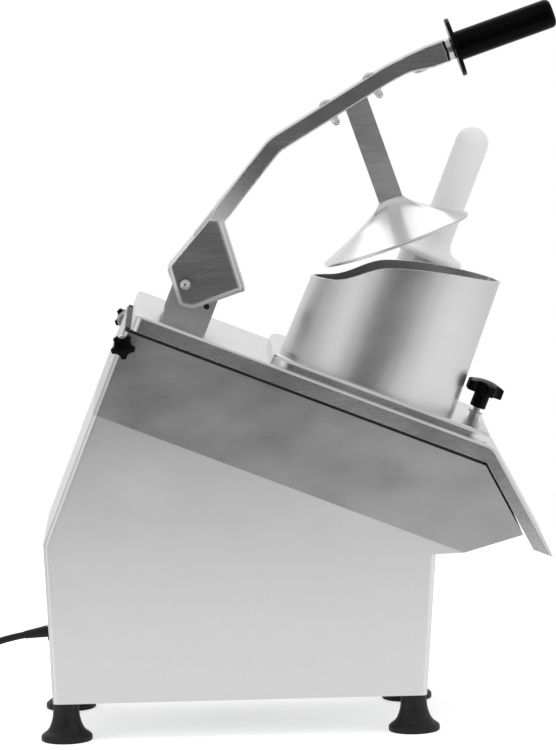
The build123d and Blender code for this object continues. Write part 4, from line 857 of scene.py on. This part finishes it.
# %% Large metal pieces
LARGE_PIECES = {
    "base_housing": 0.0008, "chamber_housing": 0.0008, "cover_shell": 0.0006, "hinge_lugs": 0.0005,
    "feed_hopper": 0.0006, "feed_tube": 0.0005, "lever_bracket": 0.0006, "bottom_plate": 0.0004,
}
for node, edge in LARGE_PIECES.items():
    dressed(node, edge)

# %% [markdown]
# ## The lever
# The lever is one casting: a hollow fork that flows into a bent arm. The CAD model has a plain step there. A
# flared block bridges the step, and a fine voxel remesh turns both into one skin, as metal poured into one
# mould. A few rounds of smoothing give that skin the soft edges of a hand-polished casting.

# %% Lever with its flare
lever_x, lever_z = tilted(SWING_DEGREES)
along_arm = (lever_x * 0.850 + lever_z * 0.527).normalized()
over_arm = (lever_z * 0.850 - lever_x * 0.527).normalized()
FLARE_START, FLARE_LENGTH, FLARE_STEPS = -0.004, 0.078, 14
ARM_HALF_WIDTH, FLARE_GROWTH, FLARE_POWER = 0.0124, 0.0170, 1.9
ARM_HALF_HEIGHT, START_THINNING = 0.0083, 0.0030
CORNERS = ((-1, -1), (1, -1), (1, 1), (-1, 1))


def flare():
    """Block on the arm's line, as wide as the fork at its start and as narrow as the arm at its end."""
    foot = PIVOT + lever_x * 0.0505 + lever_z * 0.0493
    verts, faces = [], []
    for i in range(FLARE_STEPS + 1):
        share = i / FLARE_STEPS
        half = ARM_HALF_WIDTH + FLARE_GROWTH * (1 - share) ** FLARE_POWER
        thick = ARM_HALF_HEIGHT - START_THINNING * max(0.0, 1 - 5 * share)
        middle = foot + along_arm * (FLARE_START + FLARE_LENGTH * share)
        verts += [middle + ACROSS * side * half + over_arm * rise * thick for side, rise in CORNERS]
    for i in range(FLARE_STEPS):
        for k in range(4):
            n = (k + 1) % 4
            faces.append((4 * i + k, 4 * i + n, 4 * i + 4 + n, 4 * i + 4 + k))
    return verts, faces + [(3, 2, 1, 0), tuple(4 * FLARE_STEPS + k for k in range(4))]


form = bmesh.new()
form.from_mesh(welded_copy("lever_arm"))
flare_verts, flare_faces = flare()
made = [form.verts.new(vert) for vert in flare_verts]
block = [form.faces.new([made[i] for i in face]) for face in flare_faces]
bmesh.ops.recalc_face_normals(form, faces=block)
lever_mesh = bpy.data.meshes.new("lever_arm_finished")
form.to_mesh(lever_mesh)
form.free()
lever = new_piece("lever_arm_finished", lever_mesh)
skin = lever.modifiers.new("one_skin", "REMESH")
skin.mode = "VOXEL"
skin.voxel_size = 0.0009
skin.use_smooth_shade = True
polish = lever.modifiers.new("hand_polish", "SMOOTH")
polish.factor = 0.5
polish.iterations = 3
settled(lever)
lever.data.shade_smooth()
finished(lever, "lever_arm")
print("lever", len(lever.data.polygons), "faces")

# %% [markdown]
# ## Stem, rubber and plastic
# The stem below the arm is cast too, but it is brushed duller than the arm, and its colour is a lighter copy
# of the arm's, painted light for its face. The small pieces keep their CAD form, and get an edge that suits
# their size.

# %% Small pieces that keep their form
dressed("press_stem", 0.0010, finish="stem_casting_painted_light")
SMALL_PIECES = {
    "lid_gasket": 0.0004, "cable_gland": 0.0004, "power_plug": 0.0005, "bracket_spacer": 0.0003,
    "hand_guard": 0.0008, "hand_grip": 0.0005, "push_stick": 0.0004, "pivot_pin": 0.0003,
    "switch_panel": 0.0003, "start_button": 0.0003, "stop_button": 0.0003, "near_knob_washer": 0.0002,
    "far_knob_washer": 0.0002,
}
for node, edge in SMALL_PIECES.items():
    dressed(node, edge)

# %% [markdown]
# ## What the cord is
# A cord is a fixed length of something flexible. This script gives it only the curve drawn above, with its
# exit, route and thickness; its length, stiffness and what hangs on its far end are not declared here.

print("cord is only the curve above")

# %% [markdown]
# ## Light and floor
# A product photograph of metal is a photograph of what surrounds it. White walls and a white floor make
# steel bright, and a darker room behind the camera gives curved sheet its grey bands. The world plays those
# surroundings: pure white for the camera, and for reflections a soft room with a darker front.

# %% The room
world = bpy.data.worlds.new("room")
bpy.context.scene.world = world
world.use_nodes = True
room = world.node_tree
room.nodes.clear()
room_calc = partial(calc, room)
where = add(room, "ShaderNodeTexCoord", output="Generated")
parts = parts_of(room, where)


def room_ramp(socket, stops):
    """Grey steps along a socket, eased into each other."""
    colour = add(room, "ShaderNodeValToRGB", {0: socket})
    ramp = colour.node.color_ramp
    while len(ramp.elements) < len(stops):
        ramp.elements.new(0.5)
    for element, (position, value) in zip(ramp.elements, stops):
        element.position = position
        element.color = (value, value, value, 1)
    ramp.interpolation = "EASE"
    return colour


def soft_box(direction, narrow, wide, strength):
    """A round soft light in the ceiling, seen only in reflections."""
    aim = Vector(direction).normalized()
    nearness = add(room, "ShaderNodeVectorMath", {0: where, 1: aim}, "Value", operation="DOT_PRODUCT")
    start, end = math.cos(math.radians(wide)), math.cos(math.radians(narrow))
    return between(room, nearness, 0.0, strength, start, end, interpolation_type="SMOOTHSTEP")


azimuth = room_calc("ARCTAN2", parts["Y"], parts["X"])
around = room_calc("MULTIPLY_ADD", azimuth, 1 / (2 * math.pi), 0.5)
height = room_calc("MULTIPLY_ADD", parts["Z"], 0.5, 0.5)
walls = room_ramp(around, [
    (0.0, 0.55), (0.04, 0.78), (0.094, 1.0), (0.15, 0.60), (0.195, 0.10), (0.26, 0.12), (0.31, 0.38),
    (0.36, 0.60), (0.417, 0.88), (0.48, 0.80), (0.58, 0.62), (0.66, 0.70), (0.74, 0.86), (0.84, 0.90),
    (0.93, 0.56), (1.0, 0.55),
])
levels = room_ramp(height, [(0.0, 0.0), (0.62, 0.0), (0.80, 0.9), (1.0, 1.0)])
left_box = soft_box((-0.40, 0.65, 0.64), 3, 11, 0.9)
back_box = soft_box((0.03, 0.74, 0.67), 8, 30, 0.75)
CEILING, DIFFUSE_LIGHT = 0.66, 0.58
ceiling = room_calc("ADD", room_calc("ADD", left_box, back_box), CEILING)
seen = mixed(room, levels, walls, ceiling)

paths = add(room, "ShaderNodeLightPath").node.outputs
mirrored = room_calc("MAXIMUM", paths["Is Glossy Ray"], paths["Is Transmission Ray"])
shown = mixed(room, paths["Is Camera Ray"], mixed(room, mirrored, DIFFUSE_LIGHT, seen), 1.0)
room_light = add(room, "ShaderNodeBackground", {"Color": (1, 1, 1, 1), "Strength": shown})
room.links.new(room_light, room.nodes.new("ShaderNodeOutputWorld").inputs[0])
print("room nodes:", len(room.nodes))

# %% [markdown]
# The floor is a matt white sweep. To the camera it is as white as the room, and it only darkens where the
# machine's feet and cord take light from it.

# %% The floor
FLOOR_RADIUS = 1.25
CAMERA_GLOW, MIRROR_GLOW = 0.55, 0.15
floor_mesh = bpy.data.meshes.new("floor")
form = bmesh.new()
bmesh.ops.create_circle(form, cap_ends=True, segments=96, radius=FLOOR_RADIUS)
form.to_mesh(floor_mesh)
form.free()
floor = new_piece("floor", floor_mesh)
paper, paper_tree, paper_shader = start_material("white_paper")
paths = add(paper_tree, "ShaderNodeLightPath").node.outputs
glow = calc(paper_tree, "ADD", calc(paper_tree, "MULTIPLY", paths["Is Camera Ray"], CAMERA_GLOW),
            calc(paper_tree, "MULTIPLY", paths["Is Glossy Ray"], MIRROR_GLOW))
grain = object_noise(paper_tree, 60.0, 2.0)
bump = add(paper_tree, "ShaderNodeBump", {"Height": grain, "Strength": 0.1, "Distance": 0.0002})
paper_tree.links.new(glow, paper_shader.inputs["Emission Strength"])
paper_tree.links.new(bump, paper_shader.inputs["Normal"])
for key, value in {
    "Base Color": (0.92, 0.92, 0.92, 1), "Roughness": 0.9, "Specular IOR Level": 0.1,
    "Emission Color": (1, 1, 1, 1),
}.items():
    paper_shader.inputs[key].default_value = value
floor_mesh.materials.append(paper)
print("floor radius:", FLOOR_RADIUS, "m")

# %% [markdown]
# ## Lamps
# Four large soft lamps shape the diffuse light: a strong one above and in front, and weaker ones at both
# sides and behind. Reflections leave them out, because the room above already says what metal sees.

# %% The lamps
LAMP_AIM = Vector((0, 0, 0.3))


def soft_lamp(name, place, width, height, power):
    light = bpy.data.lights.new(name, "AREA")
    light.shape = "RECTANGLE"
    light.size, light.size_y = width, height
    light.energy = power
    lamp = new_piece(name, light)
    lamp.location = place
    lamp.rotation_euler = (LAMP_AIM - Vector(place)).to_track_quat("-Z", "Y").to_euler()
    lamp.visible_glossy = False
    return lamp


soft_lamp("top_softbox", (0.2, -0.6, 2.4), 2.2, 1.6, 16)
soft_lamp("left_softbox", (-2.2, -1.5, 1.1), 1.0, 1.8, 7)
soft_lamp("right_softbox", (2.3, -1.2, 1.0), 1.0, 1.8, 6)
soft_lamp("back_softbox", (0.4, 2.4, 1.4), 1.8, 1.4, 6)
bpy.context.scene.view_settings.view_transform = "Standard"
print("lamps:", len(bpy.data.lights))

# %% [markdown]
# ## Sizes
# The finished pieces may not outgrow the CAD model. This cell only brings the scene up to date.

# %% Update the scene
bpy.context.view_layer.update()
